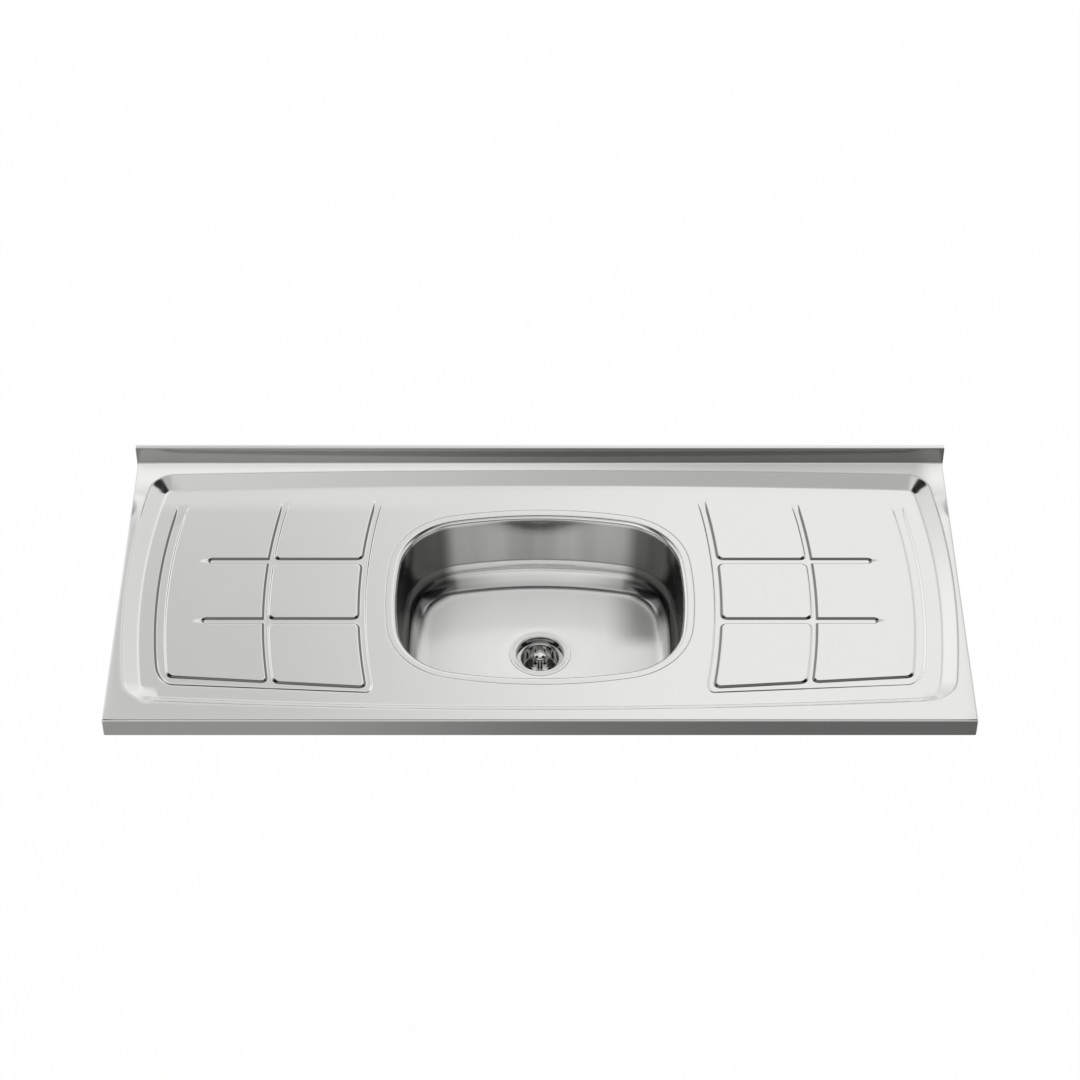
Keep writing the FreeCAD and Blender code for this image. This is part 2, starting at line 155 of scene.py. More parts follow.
# %% [markdown]
# The tray is the shallow field that keeps the water on the top. Its sides bow outwards, and the step up to
# the ledge is a gentle slope, wider at the rear than at the front. I press it as the share of the way
# between the outline of its crest and that of its foot, so the slope changes its width smoothly in the
# corners, as on the real press tool.

# %% The tray
LENGTH, DEPTH = 1200.0, 530.0
SHEET = 0.8
LEDGE_Z = 30.0
TRAY_DROP = 9.0
TRAY_Z = LEDGE_Z - TRAY_DROP
TRAY_MARGINS = {"side": 26.0, "front": 38.5, "rear": 31.5}
TRAY_SLOPES = {"side": 24.0, "front": 16.0, "rear": 30.0}
TRAY_BOWS = {"side": 19.0, "front": 18.5, "rear": 9.9}
CREST_RADII, FOOT_RADII = {"front": 36.0, "rear": 30.0}, {"front": 26.0, "rear": 9.0}
TRAY_BEND = 0.12
LEAST_SLOPE = 0.8


def inside_tray(x, y, widths, corner_radii):
    """Distance inside the tray's outline, drawn in from its crest by the given widths."""
    half = LENGTH / 2 - TRAY_MARGINS["side"] - widths["side"]
    rear = -TRAY_MARGINS["rear"] - widths["rear"]
    front = -DEPTH + TRAY_MARGINS["front"] + widths["front"]
    corners = [(-half, rear), (-half, front), (half, front), (half, rear)]
    bows = [TRAY_BOWS[side] for side in ("side", "front", "side", "rear")]
    radii = [corner_radii[end] for end in ("front", "front", "rear", "rear")]
    ends = corners[1:] + corners[:1]
    return inside_sides([inside_side(x, y, *side) for side in zip(corners, ends, bows)], radii)


def tray_share(x, y):
    """0 on the ledge, 1 in the tray, and between them on the slope."""
    crest = inside_tray(x, y, dict.fromkeys(TRAY_SLOPES, 0.0), CREST_RADII)
    foot = inside_tray(x, y, TRAY_SLOPES, FOOT_RADII)
    return np.clip(crest / np.maximum(crest - foot, LEAST_SLOPE), 0, 1)


left_share = tray_share(np.array([-580.0]), np.array([-260.0]))
print("share of the slope, 20 mm from the left end:", left_share.round(2))

# %% [markdown]
# Each drainboard carries a pattern of pads that stand between pressed grooves, so that crockery stands dry
# while the water runs round it. The grooves are what the press cuts into the sheet, so I describe them as
# the pattern's field less its pads, plus the two short cross grooves that end rounded in the outer pad.
# Both boards are mirror images, which the absolute value of x gives for nothing.

# %% The sizes of the drainboard pattern
GROOVE_DEPTH = 2.2
GROOVE_WALL = 3.4
GROOVE_BEND = 0.3
REAR_RUNOUT, FRONT_RUNOUT = 30.0, 6.0
BOW_RADIUS, BOW_MIDDLE = 1060.0, 268.0
PATTERN_LINES = (247.5, 548.5)
PATTERN_REAR, PATTERN_FRONT = (77.0, 90.0), (471.0, 454.5)
PATTERN_RADII = [13.0, 22.0, 1.0, 1.0]
PAD_LINES = (260.5, 384.5, 396.0, 531.0)
PAD_REAR, PAD_FRONT = 66.0, (455.5, 435.5)
PAD_RADIUS = 7.0
CROSS_GROOVES, CROSS_HALF, CROSS_END = (207.5, 328.5), 6.5, 480.0


# %% The drainboard pattern
def bowed_shift(y):
    """How far a bowed line has moved towards the bowl at depth y."""
    return np.sqrt(BOW_RADIUS ** 2 - (np.abs(y) - BOW_MIDDLE) ** 2) - BOW_RADIUS


def inside_bowed(x, y, inner, outer, rear, front, radii, slowed=(1.0, 1.0)):
    """Distance inside a field between two bowed lines at positive x, slowed at its rear and front sides."""
    across = np.abs(y) - BOW_MIDDLE
    inner_side = np.hypot(x - (inner - BOW_RADIUS), across) - BOW_RADIUS
    outer_side = BOW_RADIUS - np.hypot(x - (outer - BOW_RADIUS), across)
    inner_rear, outer_rear, inner_front, outer_front = [
        (line + bowed_shift(depth), -depth)
        for ends in (rear, front) for line, depth in zip((inner, outer), ends)]
    rear_side = inside_side(x, y, outer_rear, inner_rear, 0) * slowed[0]
    front_side = inside_side(x, y, inner_front, outer_front, 0) * slowed[1]
    return inside_sides([inner_side, front_side, outer_side, rear_side], radii)


def pad_front(line):
    """How far from the wall the pads end on a line of the pattern."""
    return np.interp(line, (PAD_LINES[0], PAD_LINES[-1]), PAD_FRONT)


def inside_grooves(x, y):
    """Distance inside the network of grooves, from its upper edges."""
    x = np.abs(x)
    slowed = (GROOVE_WALL / REAR_RUNOUT, GROOVE_WALL / FRONT_RUNOUT)
    depth = inside_bowed(x, y, *PATTERN_LINES, PATTERN_REAR, PATTERN_FRONT, PATTERN_RADII, slowed)
    rear_groove, front_groove = CROSS_GROOVES
    rows = [(PAD_REAR, rear_groove - CROSS_HALF), (rear_groove + CROSS_HALF, front_groove - CROSS_HALF),
            (front_groove + CROSS_HALF, None)]
    pads = [(*PAD_LINES[:2], row) for row in rows] + [(*PAD_LINES[2:], (PAD_REAR, None))]
    for inner, outer, (near, far) in pads:
        front = (pad_front(inner), pad_front(outer)) if far is None else (far, far)
        pad = inside_bowed(x, y, inner, outer, (near, near), front, [PAD_RADIUS] * 4)
        depth = np.minimum(depth, -pad)
    start, end = PAD_LINES[1] + CROSS_HALF, CROSS_END - CROSS_HALF
    for middle in CROSS_GROOVES:
        slot = CROSS_HALF - np.hypot(x - np.clip(x, start, end), np.abs(y) - middle)
        depth = np.maximum(depth, np.where(x < start - CROSS_HALF / 2, -CROSS_HALF, slot))
    return depth


# %% [markdown]
# The three visible edges of the sheet are folded down over a small radius. On the mesh that is a drop that
# follows a quarter circle over the last few millimetres. At the two front corners both folds meet, and
# there the square corner of the mesh is squeezed onto a quarter circle, which makes the small round corner
# of a real folded top.

# %% The folded rim
RIM_BEND = 3.0
FOLD_STEPS = 7


def fold_places(edge):
    """Positions over a fold that ends at the given edge."""
    turn = np.linspace(0, math.pi / 2, FOLD_STEPS)
    return edge - RIM_BEND * (1 - np.sin(turn))


def folded(x, y):
    """Points with the rim's front corners made round, and the drop of the fold below the ledge."""
    u = np.clip((np.abs(x) - LENGTH / 2 + RIM_BEND) / RIM_BEND, 0, 1)
    v = np.clip((-y - DEPTH + RIM_BEND) / RIM_BEND, 0, 1)
    round_u, round_v = u * np.sqrt(1 - v ** 2 / 2), v * np.sqrt(1 - u ** 2 / 2)
    x = np.where(u > 0, np.sign(x) * (LENGTH / 2 - RIM_BEND + RIM_BEND * round_u), x)
    y = np.where(v > 0, -(DEPTH - RIM_BEND + RIM_BEND * round_v), y)
    over = np.clip(round_u ** 2 + round_v ** 2, 0, 1)
    return x, y, RIM_BEND * (1 - np.sqrt(1 - over))


# %% [markdown]
# The lines of the mesh should run along the grooves, because a groove that crosses the mesh aslant shows
# as a staircase in the reflections. So the straight lines are bent with the pattern: each line takes on
# the bow or the slant of the nearest pressed edge, and the lines between blend from one to the next.

# %% The straight mesh lines
UPSTAND_DEPTH, SWEEP = 9.0, 2.5
BAND_MARGIN = 0.4
WALLS_ALONG = [PATTERN_LINES[0], PAD_LINES[0] - GROOVE_WALL, PAD_LINES[1], PAD_LINES[2] - GROOVE_WALL,
               PAD_LINES[3], PATTERN_LINES[1] - GROOVE_WALL]
WALLS_ACROSS = [middle + side for middle in CROSS_GROOVES
                for side in (-CROSS_HALF, CROSS_HALF - GROOVE_WALL)]
WALLS_ACROSS += [PAD_FRONT[0], PATTERN_FRONT[0] - FRONT_RUNOUT]
BENDS_ALONG = [(247.0, 268.5), (377.0, 403.5), (465.0, 482.0), (523.5, 549.0),
               (562.0, LENGTH / 2 - RIM_BEND)]
BENDS_ACROSS = [(UPSTAND_DEPTH + SWEEP, 58.0), (75.0, 103.0), (194.0, 221.0), (315.0, 342.0), (446.0, 472.0),
                (490.0, 514.0)]


def steel_lines(start, edge, walls, bends):
    """Mesh lines from start to a folded edge, finest over the grooves' walls and fine over the bends."""
    bands = [(wall - BAND_MARGIN, wall + GROOVE_WALL + BAND_MARGIN, WALL_STEP) for wall in walls]
    bands += [(low, high, BEND_STEP) for low, high in bends]
    return np.append(lines(start, edge - RIM_BEND, bands), fold_places(edge)[1:])


right_lines = steel_lines(0.0, LENGTH / 2, WALLS_ALONG, BENDS_ALONG)
x_lines = np.concatenate([-right_lines[:0:-1], right_lines])
y_lines = steel_lines(UPSTAND_DEPTH + SWEEP, DEPTH, WALLS_ACROSS, BENDS_ACROSS)
print("mesh lines", len(x_lines), "along and", len(y_lines), "across")

# %% The same lines, bent with the pattern
BLEND = (0, 1, 1, 0)
REAR_BLEND, FRONT_BLEND = (11.5, 20, 56, 72), (472, 492, 512, 527)
PATTERN_BLEND, END_BLEND = (150, 241, 549, 566), (549, 566, 594, 597)
SLANT_PLACES, SLANTS = (426, 450, 459, 467, 478, 490), (0, 0.0706, 0.0706, 0.0548, 0.0548, 0)
BOWED_DEPTHS = (60, 476)


def bent_lines(x, y):
    """The crossing of line x with line y (a distance from the wall), moved along with the pressed edges."""
    side, across = np.sign(x), np.abs(x)
    out = np.clip(across / (LENGTH / 2 - TRAY_MARGINS["side"]), 0, 1) ** 2
    rear = TRAY_BOWS["rear"] * out * np.interp(y, REAR_BLEND, BLEND)
    front = -TRAY_BOWS["front"] * out * np.interp(y, FRONT_BLEND, BLEND)
    over_pattern = np.clip(across - PATTERN_LINES[0], 0, PATTERN_LINES[1] - PATTERN_LINES[0])
    new_y = y + rear + front - np.interp(y, SLANT_PLACES, SLANTS) * over_pattern
    middle = (DEPTH + TRAY_MARGINS["rear"] - TRAY_MARGINS["front"]) / 2
    off_middle = np.clip((new_y - middle) / (middle - TRAY_MARGINS["rear"]), -1, 1)
    pattern = bowed_shift(np.clip(new_y, *BOWED_DEPTHS)) * np.interp(across, PATTERN_BLEND, BLEND)
    tray_end = -TRAY_BOWS["side"] * off_middle ** 2 * np.interp(across, END_BLEND, BLEND)
    return side * (across + pattern + tray_end), -new_y


grid_y, grid_x = np.meshgrid(y_lines, x_lines, indexing="ij")
field_x, field_y = bent_lines(grid_x, grid_y)
print("bent by up to", np.abs(field_x - grid_x).max().round(1), "mm along the sheet")

# %% [markdown]
# Now the sheet itself: its upper skin is the grid, lowered by the tray, the grooves and the folds. At the
# rear the rows go on up the wall side: a sweep, the upstand's face, its rounded top and its back.

# %% The upper skin
FLAT_TRAY = 0.999

skin_x, skin_y, fold_drop = folded(field_x, field_y)
share = tray_share(skin_x, skin_y)
groove = eased(inside_grooves(skin_x, skin_y) / GROOVE_WALL, GROOVE_BEND)
pressed = TRAY_DROP * eased(share, TRAY_BEND)
skin_z = LEDGE_Z - pressed - GROOVE_DEPTH * groove * (share > FLAT_TRAY) - fold_drop
print("the lowest point of the grooves is at", skin_z.min().round(2))

# %% The upstand
UPSTAND_TOP, UPSTAND_BEND = 60.0, 2.0
QUARTER_STEPS, SWEEP_STEPS, FACE_STEPS = 6, 8, 6


def quarter(centre_y, centre_z, radius, start):
    """(y, z) points over a quarter turn clockwise from the start angle in degrees."""
    turn = np.radians(start - np.linspace(0, 90, QUARTER_STEPS))
    return list(zip(centre_y + radius * np.cos(turn), centre_z + radius * np.sin(turn)))


wall_rows = [(-UPSTAND_DEPTH - SWEEP + SWEEP * math.sin(a), LEDGE_Z + SWEEP * (1 - math.cos(a)))
             for a in np.linspace(0, math.pi / 2, SWEEP_STEPS)[1:]]
crown = UPSTAND_TOP - UPSTAND_BEND
wall_rows += [(-UPSTAND_DEPTH, z) for z in np.linspace(wall_rows[-1][1], crown, FACE_STEPS)[1:-1]]
wall_rows += quarter(-UPSTAND_DEPTH + UPSTAND_BEND, crown, UPSTAND_BEND, 180)
wall_rows += quarter(-UPSTAND_BEND, crown, UPSTAND_BEND, 90)
wall_rows += [(0.0, z) for z in np.linspace(crown, LEDGE_Z - RIM_BEND, FACE_STEPS)[1:]]

rows = [np.stack([skin_x[k], skin_y[k], skin_z[k]], 1) for k in range(len(y_lines))][::-1]
rows += [np.stack([x_lines, np.full_like(x_lines, y), np.full_like(x_lines, z)], 1) for y, z in wall_rows]
sheet_points = [point for row in rows for point in row]
columns = len(x_lines)
number = np.arange(len(rows) * columns).reshape(len(rows), columns)
ledge_rows = len(y_lines)
print("rows", len(rows), "points", len(sheet_points))

# %% [markdown]
# The bowl is welded into a hole in the tray, so the sheet stops there along a thin outline parallel to the
# bowl's mouth. The mouth is four bowed sides and four big corner arcs, and every ring of the bowl is the
# same outline moved in or out. So I work out the outline once, with the direction it faces at every point,
# and move it by any distance.

# %% The outline of the bowl's mouth
BOWL_Y = -277.0
MOUTH_HALF = (205.0, 161.0)
MOUTH_BOWS = (16.0, 28.0)
MOUTH_CORNER = 95.0
MOUTH_POINTS, ARC_SAMPLES = 240, 400


def mouth_outline():
    """Points along one quarter of the mouth and their outward directions, then mirrored into all four."""
    half_x, half_y = MOUTH_HALF[0] - MOUTH_BOWS[0], MOUTH_HALF[1] - MOUTH_BOWS[1]
    end_radius = (half_y ** 2 + MOUTH_BOWS[0] ** 2) / (2 * MOUTH_BOWS[0])
    long_radius = (half_x ** 2 + MOUTH_BOWS[1] ** 2) / (2 * MOUTH_BOWS[1])
    end_centre, long_centre = MOUTH_HALF[0] - end_radius, MOUTH_HALF[1] - long_radius
    a, b = end_radius - MOUTH_CORNER, long_radius - MOUTH_CORNER
    apart = math.hypot(end_centre, long_centre)
    along = (a ** 2 - b ** 2 + apart ** 2) / (2 * apart)
    off = math.sqrt(a ** 2 - along ** 2)
    unit_x, unit_y = -end_centre / apart, long_centre / apart
    corner_x = end_centre + along * unit_x - off * unit_y
    corner_y = along * unit_y + off * unit_x
    low = math.atan2(corner_y, corner_x - end_centre)
    high = math.atan2(corner_y - long_centre, corner_x)
    dense = []
    for radius, centre, start, end in ((end_radius, (end_centre, 0), 0, low),
                                       (MOUTH_CORNER, (corner_x, corner_y), low, high),
                                       (long_radius, (0, long_centre), high, math.pi / 2)):
        for angle in np.linspace(start, end, ARC_SAMPLES):
            out_x, out_y = math.cos(angle), math.sin(angle)
            dense.append((centre[0] + radius * out_x, centre[1] + radius * out_y, out_x, out_y))
    dense = np.array(dense)
    walked = np.append(0, np.cumsum(np.hypot(*np.diff(dense[:, :2], axis=0).T)))
    even = np.linspace(0, walked[-1], MOUTH_POINTS // 4 + 1)
    first = np.stack([np.interp(even, walked, dense[:, k]) for k in range(4)], 1)
    second = first[-2::-1] * (-1, 1, -1, 1)
    half = np.concatenate([first, second])
    return np.concatenate([half, half[-2:0:-1] * (1, -1, 1, -1)])


mouth = mouth_outline()
print("mouth outline", len(mouth), "points, corner at", mouth[len(mouth) // 8].round(2))


def mouth_ring(outset, z):
    """The mouth's outline moved outwards, at height z."""
    x = mouth[:, 0] + outset * mouth[:, 2]
    y = BOWL_Y + mouth[:, 1] + outset * mouth[:, 3]
    return np.stack([x, y, np.full_like(x, z)], 1)


# %% [markdown]
# Round the bowl the straight mesh lines end on a rectangle, and a patch of spokes runs from there to the
# welded seam. Ground flush, such a seam still shows as a hair line, because both edges are slightly
# rounded: the last rings dip by half a millimetre and leave a narrow gap to the bowl's flange.

# %% The patch round the bowl and the seam
FLANGE = 15.0
SEAM_EDGE = [(2.2, 0.0), (0.7, 0.0), (0.35, -0.1), (0.12, -0.4)]
PATCH_HALF, PATCH_REAR, PATCH_FRONT = 231.5, 65.0, 470.0

near_line = np.argmin(np.abs(x_lines + PATCH_HALF))
far_line = len(x_lines) - 1 - near_line
front_row = ledge_rows - 1 - np.argmin(np.abs(y_lines - PATCH_FRONT))
rear_row = ledge_rows - 1 - np.argmin(np.abs(y_lines - PATCH_REAR))

sheet_faces = []
for k in range(len(rows) - 1):
    beside_bowl = front_row <= k < rear_row
    for start, end in ((0, near_line + 1), (far_line, columns)) if beside_bowl else ((0, columns),):
        sheet_faces += strip(number[k, start:end], number[k + 1, start:end])


def angles_round_bowl(points):
    """Where points lie round the bowl's middle, as angles on its mouth drawn out to a circle."""
    return np.arctan2((points[:, 1] - BOWL_Y) / MOUTH_HALF[1], points[:, 0] / MOUTH_HALF[0])


rim_loop = list(number[front_row, near_line:far_line]) + list(number[front_row:rear_row, far_line])
rim_loop += list(number[rear_row, far_line:near_line:-1]) + list(number[rear_row:front_row:-1, near_line])
loop_angle = angles_round_bowl(np.array([sheet_points[k] for k in rim_loop]))

inner_ring = rim_loop
for outset, dip in SEAM_EDGE:
    seam = mouth_ring(FLANGE + outset, TRAY_Z + dip)
    seam_angle = angles_round_bowl(seam)
    order = np.argsort(seam_angle)
    spokes = [np.interp(loop_angle, seam_angle[order], seam[order, axis], period=2 * math.pi)
              for axis in range(3)]
    ring = list(range(len(sheet_points), len(sheet_points) + len(rim_loop)))
    sheet_points += list(np.stack(spokes, 1))
    sheet_faces += strip(inner_ring, ring, closed=True)
    inner_ring = ring
print("spokes round the bowl", len(rim_loop))

# %% [markdown]
# Below the folds the apron drops straight to the cabinet, and its lower edge is folded in to a narrow lip
# that stiffens it and gives it something to rest on. One closed ring of points runs round all four sides,
# so the apron, the sides and the back are made at once, and the two ends of the upstand are closed by a
# cheek each.

# %% The apron, the lip and the upstand's ends
LIP, LIP_BEND = 15.0, 1.4
APRON_STEPS, LIP_STEPS = 6, 5

last_row, ledge_end = len(rows) - 1, ledge_rows - 1
outer_loop = list(number[0, :-1]) + list(number[:ledge_end + 1, -1]) + list(number[last_row, ::-1])
outer_loop += list(number[ledge_end:0:-1, 0])
outer = np.array([sheet_points[k] for k in outer_loop])
core_x = np.clip(outer[:, 0], -LENGTH / 2 + RIM_BEND, LENGTH / 2 - RIM_BEND)
core_y = np.clip(outer[:, 1], -DEPTH + RIM_BEND, -RIM_BEND)
outward = np.stack([outer[:, 0] - core_x, outer[:, 1] - core_y], 1) / RIM_BEND

levels = [(0.0, z) for z in np.linspace(LEDGE_Z - RIM_BEND, LIP_BEND, APRON_STEPS)[1:]]
levels += [(LIP_BEND * (1 - math.cos(a)), LIP_BEND * (1 - math.sin(a)))
           for a in np.linspace(0, math.pi / 2, LIP_STEPS)[1:]]
upper_ring = outer_loop
for inset, z in levels + [(LIP, 0.0)]:
    ring = list(range(len(sheet_points), len(sheet_points) + len(outer_loop)))
    place = outer[:, :2] - inset * outward
    if inset == LIP:
        place = np.clip(outer[:, :2], (-LENGTH / 2 + LIP, -DEPTH + LIP), (LENGTH / 2 - LIP, -LIP))
    sheet_points += list(np.column_stack([place, np.full(len(place), z)]))
    sheet_faces += strip(ring, upper_ring, closed=True)
    upper_ring = ring

sheet_faces.append(list(number[ledge_end:, 0]))
sheet_faces.append(list(number[ledge_end:, -1])[::-1])
print("points", len(sheet_points), "faces", len(sheet_faces))

# %% The pressed sheet
WELD = 0.005


def tidied(piece):
    """Welds points that fell together and drops points and faces that carry no surface."""
    work = bmesh.new()
    work.from_mesh(piece.data)
    bmesh.ops.remove_doubles(work, verts=work.verts, dist=WELD * METRE)
    loose = [vert for vert in work.verts if not vert.link_faces]
    bmesh.ops.delete(work, geom=loose, context="VERTS")
    work.to_mesh(piece.data)
    work.free()
    return piece


top_sheet = thickened(tidied(shown("pressed_top", sheet_points, sheet_faces)), SHEET)
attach(top_sheet, "countertop")
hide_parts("top_sheet")
print("pressed top", len(top_sheet.data.polygons), "faces")

# %% [markdown]
# A bowl like this is drawn from its own blank in one deep stroke. Its section tells how: a flat flange, a
# rounded shoulder, walls with a few degrees of draft so that it leaves the tool, a generous fillet and a
# floor with a slight fall to the drain. A loft through rings that are the mouth's outline moved inwards
# keeps that section the same all round, which a scaled outline would not.

# %% The bowl's section
BOWL_FLOOR_Z = -100.0
SHOULDER, FLANGE_FLAT = 6.5, 8.5
DRAFT = math.radians(3.2)
FLOOR_FILLET = 40.0
FLOOR_FALL = 1.0
SHOULDER_STEPS, WALL_STEPS, FILLET_STEPS, FLOOR_STEPS = 11, 9, 25, 9

section = [(FLANGE - outset, TRAY_Z + dip) for outset, dip in SEAM_EDGE[::-1]] + [(FLANGE_FLAT, TRAY_Z)]
turn = np.linspace(0, math.pi / 2 - DRAFT, SHOULDER_STEPS)
section += [(SHOULDER - SHOULDER * math.sin(a), TRAY_Z - SHOULDER * (1 - math.cos(a))) for a in turn]
wall_x, wall_z = section[-1]
floor_edge_z = BOWL_FLOOR_Z + FLOOR_FALL
wall_drop = wall_z - (floor_edge_z + FLOOR_FILLET * (1 - math.sin(DRAFT)))
wall_inset = wall_drop * math.tan(DRAFT)
section += [(wall_x - wall_inset * s, wall_z - wall_drop * s) for s in np.linspace(0, 1, WALL_STEPS)[1:]]
fillet_x = section[-1][0] - FLOOR_FILLET * math.cos(DRAFT)
turn = np.linspace(DRAFT, math.pi / 2, FILLET_STEPS)[1:]
section += [(fillet_x + FLOOR_FILLET * math.cos(a), floor_edge_z + FLOOR_FILLET * (1 - math.sin(a)))
            for a in turn]
print("wall from", round(wall_z, 1), "down, floor from", round(-fillet_x, 1), "mm inside the mouth")

# %% The bowl
SEAT_RADIUS, SEAT_DRAFT, SEAT_DROP, DRAIN_HOLE = 44.65, 0.05, 2.0, 40.0
SEAT = [(SEAT_RADIUS + 0.4, 0.0), (SEAT_RADIUS + 0.1, 0.05), (SEAT_RADIUS, 0.2),
        (SEAT_RADIUS - SEAT_DRAFT, SEAT_DROP), (DRAIN_HOLE, SEAT_DROP)]

bowl_rings = [mouth_ring(outset, z) for outset, z in section]
floor_edge = bowl_rings[-1]
around = np.arctan2(floor_edge[:, 1] - BOWL_Y, floor_edge[:, 0])


def drain_ring(radius, drop):
    """A ring about the drain, as far below the floor as drop says."""
    z = np.full_like(around, BOWL_FLOOR_Z - drop)
    return np.stack([radius * np.cos(around), BOWL_Y + radius * np.sin(around), z], 1)


seat_rings = [drain_ring(radius, drop) for radius, drop in SEAT]
bowl_rings += [floor_edge + (seat_rings[0] - floor_edge) * s for s in np.linspace(0, 1, FLOOR_STEPS)[1:]]
bowl_rings += seat_rings[1:]


def lofted(rings):
    """Points and faces of a skin through closed rings, facing up where the rings run inwards."""
    count = len(rings[0])
    ids = [np.arange(count) + count * k for k in range(len(rings))]
    faces = [face for outer, inner in zip(ids, ids[1:]) for face in strip(outer, inner, closed=True)]
    return np.concatenate(rings), faces


bowl = thickened(tidied(shown("drawn_bowl", *lofted(bowl_rings))), SHEET)
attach(bowl, "countertop")
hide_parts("bowl")
print("bowl", len(bowl.data.polygons), "faces")

# %% [markdown]
# The strainer's cup, its basket and the knob are pressed or turned about the drain's axis. Their sections
# are drawn as corners with bend radii, the way a drawing of a spun part gives them, and one function
# rounds the corners before another turns the section about the axis.

# %% Sections with rounded corners
BEND_ARC_STEPS = 6


def rounded_path(corners):
    """The path through (radius, height, bend) corners, with every bend drawn as an arc."""
    path = []
    for k, (r, z, bend) in enumerate(corners):
        here = np.array((r, z), float)
        if bend == 0:
            path.append(here)
            continue
        before = np.array(corners[k - 1][:2]) - here
        after = np.array(corners[k + 1][:2]) - here
        before, after = before / np.linalg.norm(before), after / np.linalg.norm(after)
        half = math.acos(np.clip(before @ after, -1, 1)) / 2
        centre = here + (before + after) / np.linalg.norm(before + after) * bend / math.sin(half)
        start = here + before * bend / math.tan(half) - centre
        end = here + after * bend / math.tan(half) - centre
        first = math.atan2(start[1], start[0])
        sweep = (math.atan2(end[1], end[0]) - first + math.pi) % (2 * math.pi) - math.pi
        angles = first + sweep * np.linspace(0, 1, BEND_ARC_STEPS + 1)
        path += list(centre + bend * np.stack([np.cos(angles), np.sin(angles)], 1))
    return np.array(path)


def both_skins(corners):
    """A closed section of sheet: the corners' path and the same path one sheet further out."""
    path = rounded_path(corners)
    run = np.gradient(path, axis=0)
    run /= np.linalg.norm(run, axis=1)[:, None]
    return np.concatenate([path, (path + SHEET * np.stack([-run[:, 1], run[:, 0]], 1))[::-1]])


# %% Turned pieces
TURN_STEPS = 96


def facing_out(piece):
    """Turns every face of a closed piece outwards."""
    work = bmesh.new()
    work.from_mesh(piece.data)
    bmesh.ops.recalc_face_normals(work, faces=work.faces)
    work.to_mesh(piece.data)
    work.free()
    creased(piece.data)
    return piece


def turned(name, path, closed=True):
    """A piece turned about the drain's axis from its section."""
    angles = np.arange(TURN_STEPS) * 2 * math.pi / TURN_STEPS
    rings = [np.stack([r * np.cos(angles), BOWL_Y + r * np.sin(angles), np.full(TURN_STEPS, z)], 1)
             for r, z in path]
    ids = [np.arange(TURN_STEPS) + TURN_STEPS * k for k in range(len(rings))]
    pairs = zip(ids, ids[1:] + ids[:1]) if closed else zip(ids, ids[1:])
    faces = [face for lower, upper in pairs for face in strip(lower, upper, closed=True)]
    return facing_out(tidied(shown(name, np.concatenate(rings), faces)))


# %% [markdown]
# Holes and slots are punched into the finished skins. A boolean with a set of punches does what the press
# does and gives every hole its true edge, which a picture of dark spots on the surface would not.

# %% Punches
HOLE_STEPS, SLOT_STEPS, PUNCH_REACH = 12, 8, 4.0


def slot_outline(half_width, half_height, steps):
    """A slot with round ends, or a circle where both halves are alike."""
    turn = np.linspace(0, math.pi, steps + 1)
    straight = half_height - half_width
    top = [(half_width * math.cos(a), straight + half_width * math.sin(a)) for a in turn]
    return top + [(-a, -b) for a, b in top]


def punch(outline, origin, across, up, through):
    """A prism: its outline lies in the directions across and up, and it is pushed along through."""
    origin, across, up, through = (np.array(v, float) for v in (origin, across, up, through))
    near = np.array([origin + across * a + up * b for a, b in outline])
    count = len(outline)
    ids = np.arange(count)
    faces = strip(list(ids), list(ids + count), closed=True) + [tuple(ids[::-1]), tuple(ids + count)]
    return np.concatenate([near, near + through]), faces


def hole_ring(radius, pitch, count, floor_z):
    """Upright round punches through a floor, on a circle about the drain's axis."""
    made = []
    for angle in 2 * math.pi * np.arange(count) / count:
        place = (pitch * math.cos(angle), BOWL_Y + pitch * math.sin(angle), floor_z - PUNCH_REACH)
        outline = slot_outline(radius, radius, HOLE_STEPS)
        made.append(punch(outline, place, (1, 0, 0), (0, 1, 0), (0, 0, 2 * PUNCH_REACH)))
    return made


def punched(piece, punches):
    """The piece with all its punches taken away."""
    points, faces = [], []
    for corners, sides in punches:
        faces += [tuple(int(k) + len(points) for k in side) for side in sides]
        points += list(corners)
    tool = facing_out(shown("punches", points, faces))
    cut = piece.modifiers.new("punched", "BOOLEAN")
    cut.object, cut.solver = tool, "EXACT"
    graph = bpy.context.evaluated_depsgraph_get()
    piece.data = bpy.data.meshes.new_from_object(piece.evaluated_get(graph))
    piece.modifiers.clear()
    bpy.data.objects.remove(tool)
    creased(piece.data)
    return piece


# %% [markdown]
# The cup hangs in the bowl's drain hole by its flange. Its mouth rolls over into a ledge that carries the
# basket, and a narrower throat goes down to the floor, where the water leaves through a ring of holes
# round the clamping screw.

# %% The strainer cup
FLANGE_RADIUS, CUP_MOUTH, THROAT = 44.5, 35.0, 30.6
CUP_LEDGE_Z, CUP_FLOOR_Z = BOWL_FLOOR_Z - 10.0, BOWL_FLOOR_Z - 44.0
BEAD_Z, BEAD_RADII = BOWL_FLOOR_Z + 0.4, (39.0, 40.6)
SCREW_RADIUS = 3.0
CUP_HOLE, CUP_PITCH, CUP_HOLES = 3.4, 12.0, 6

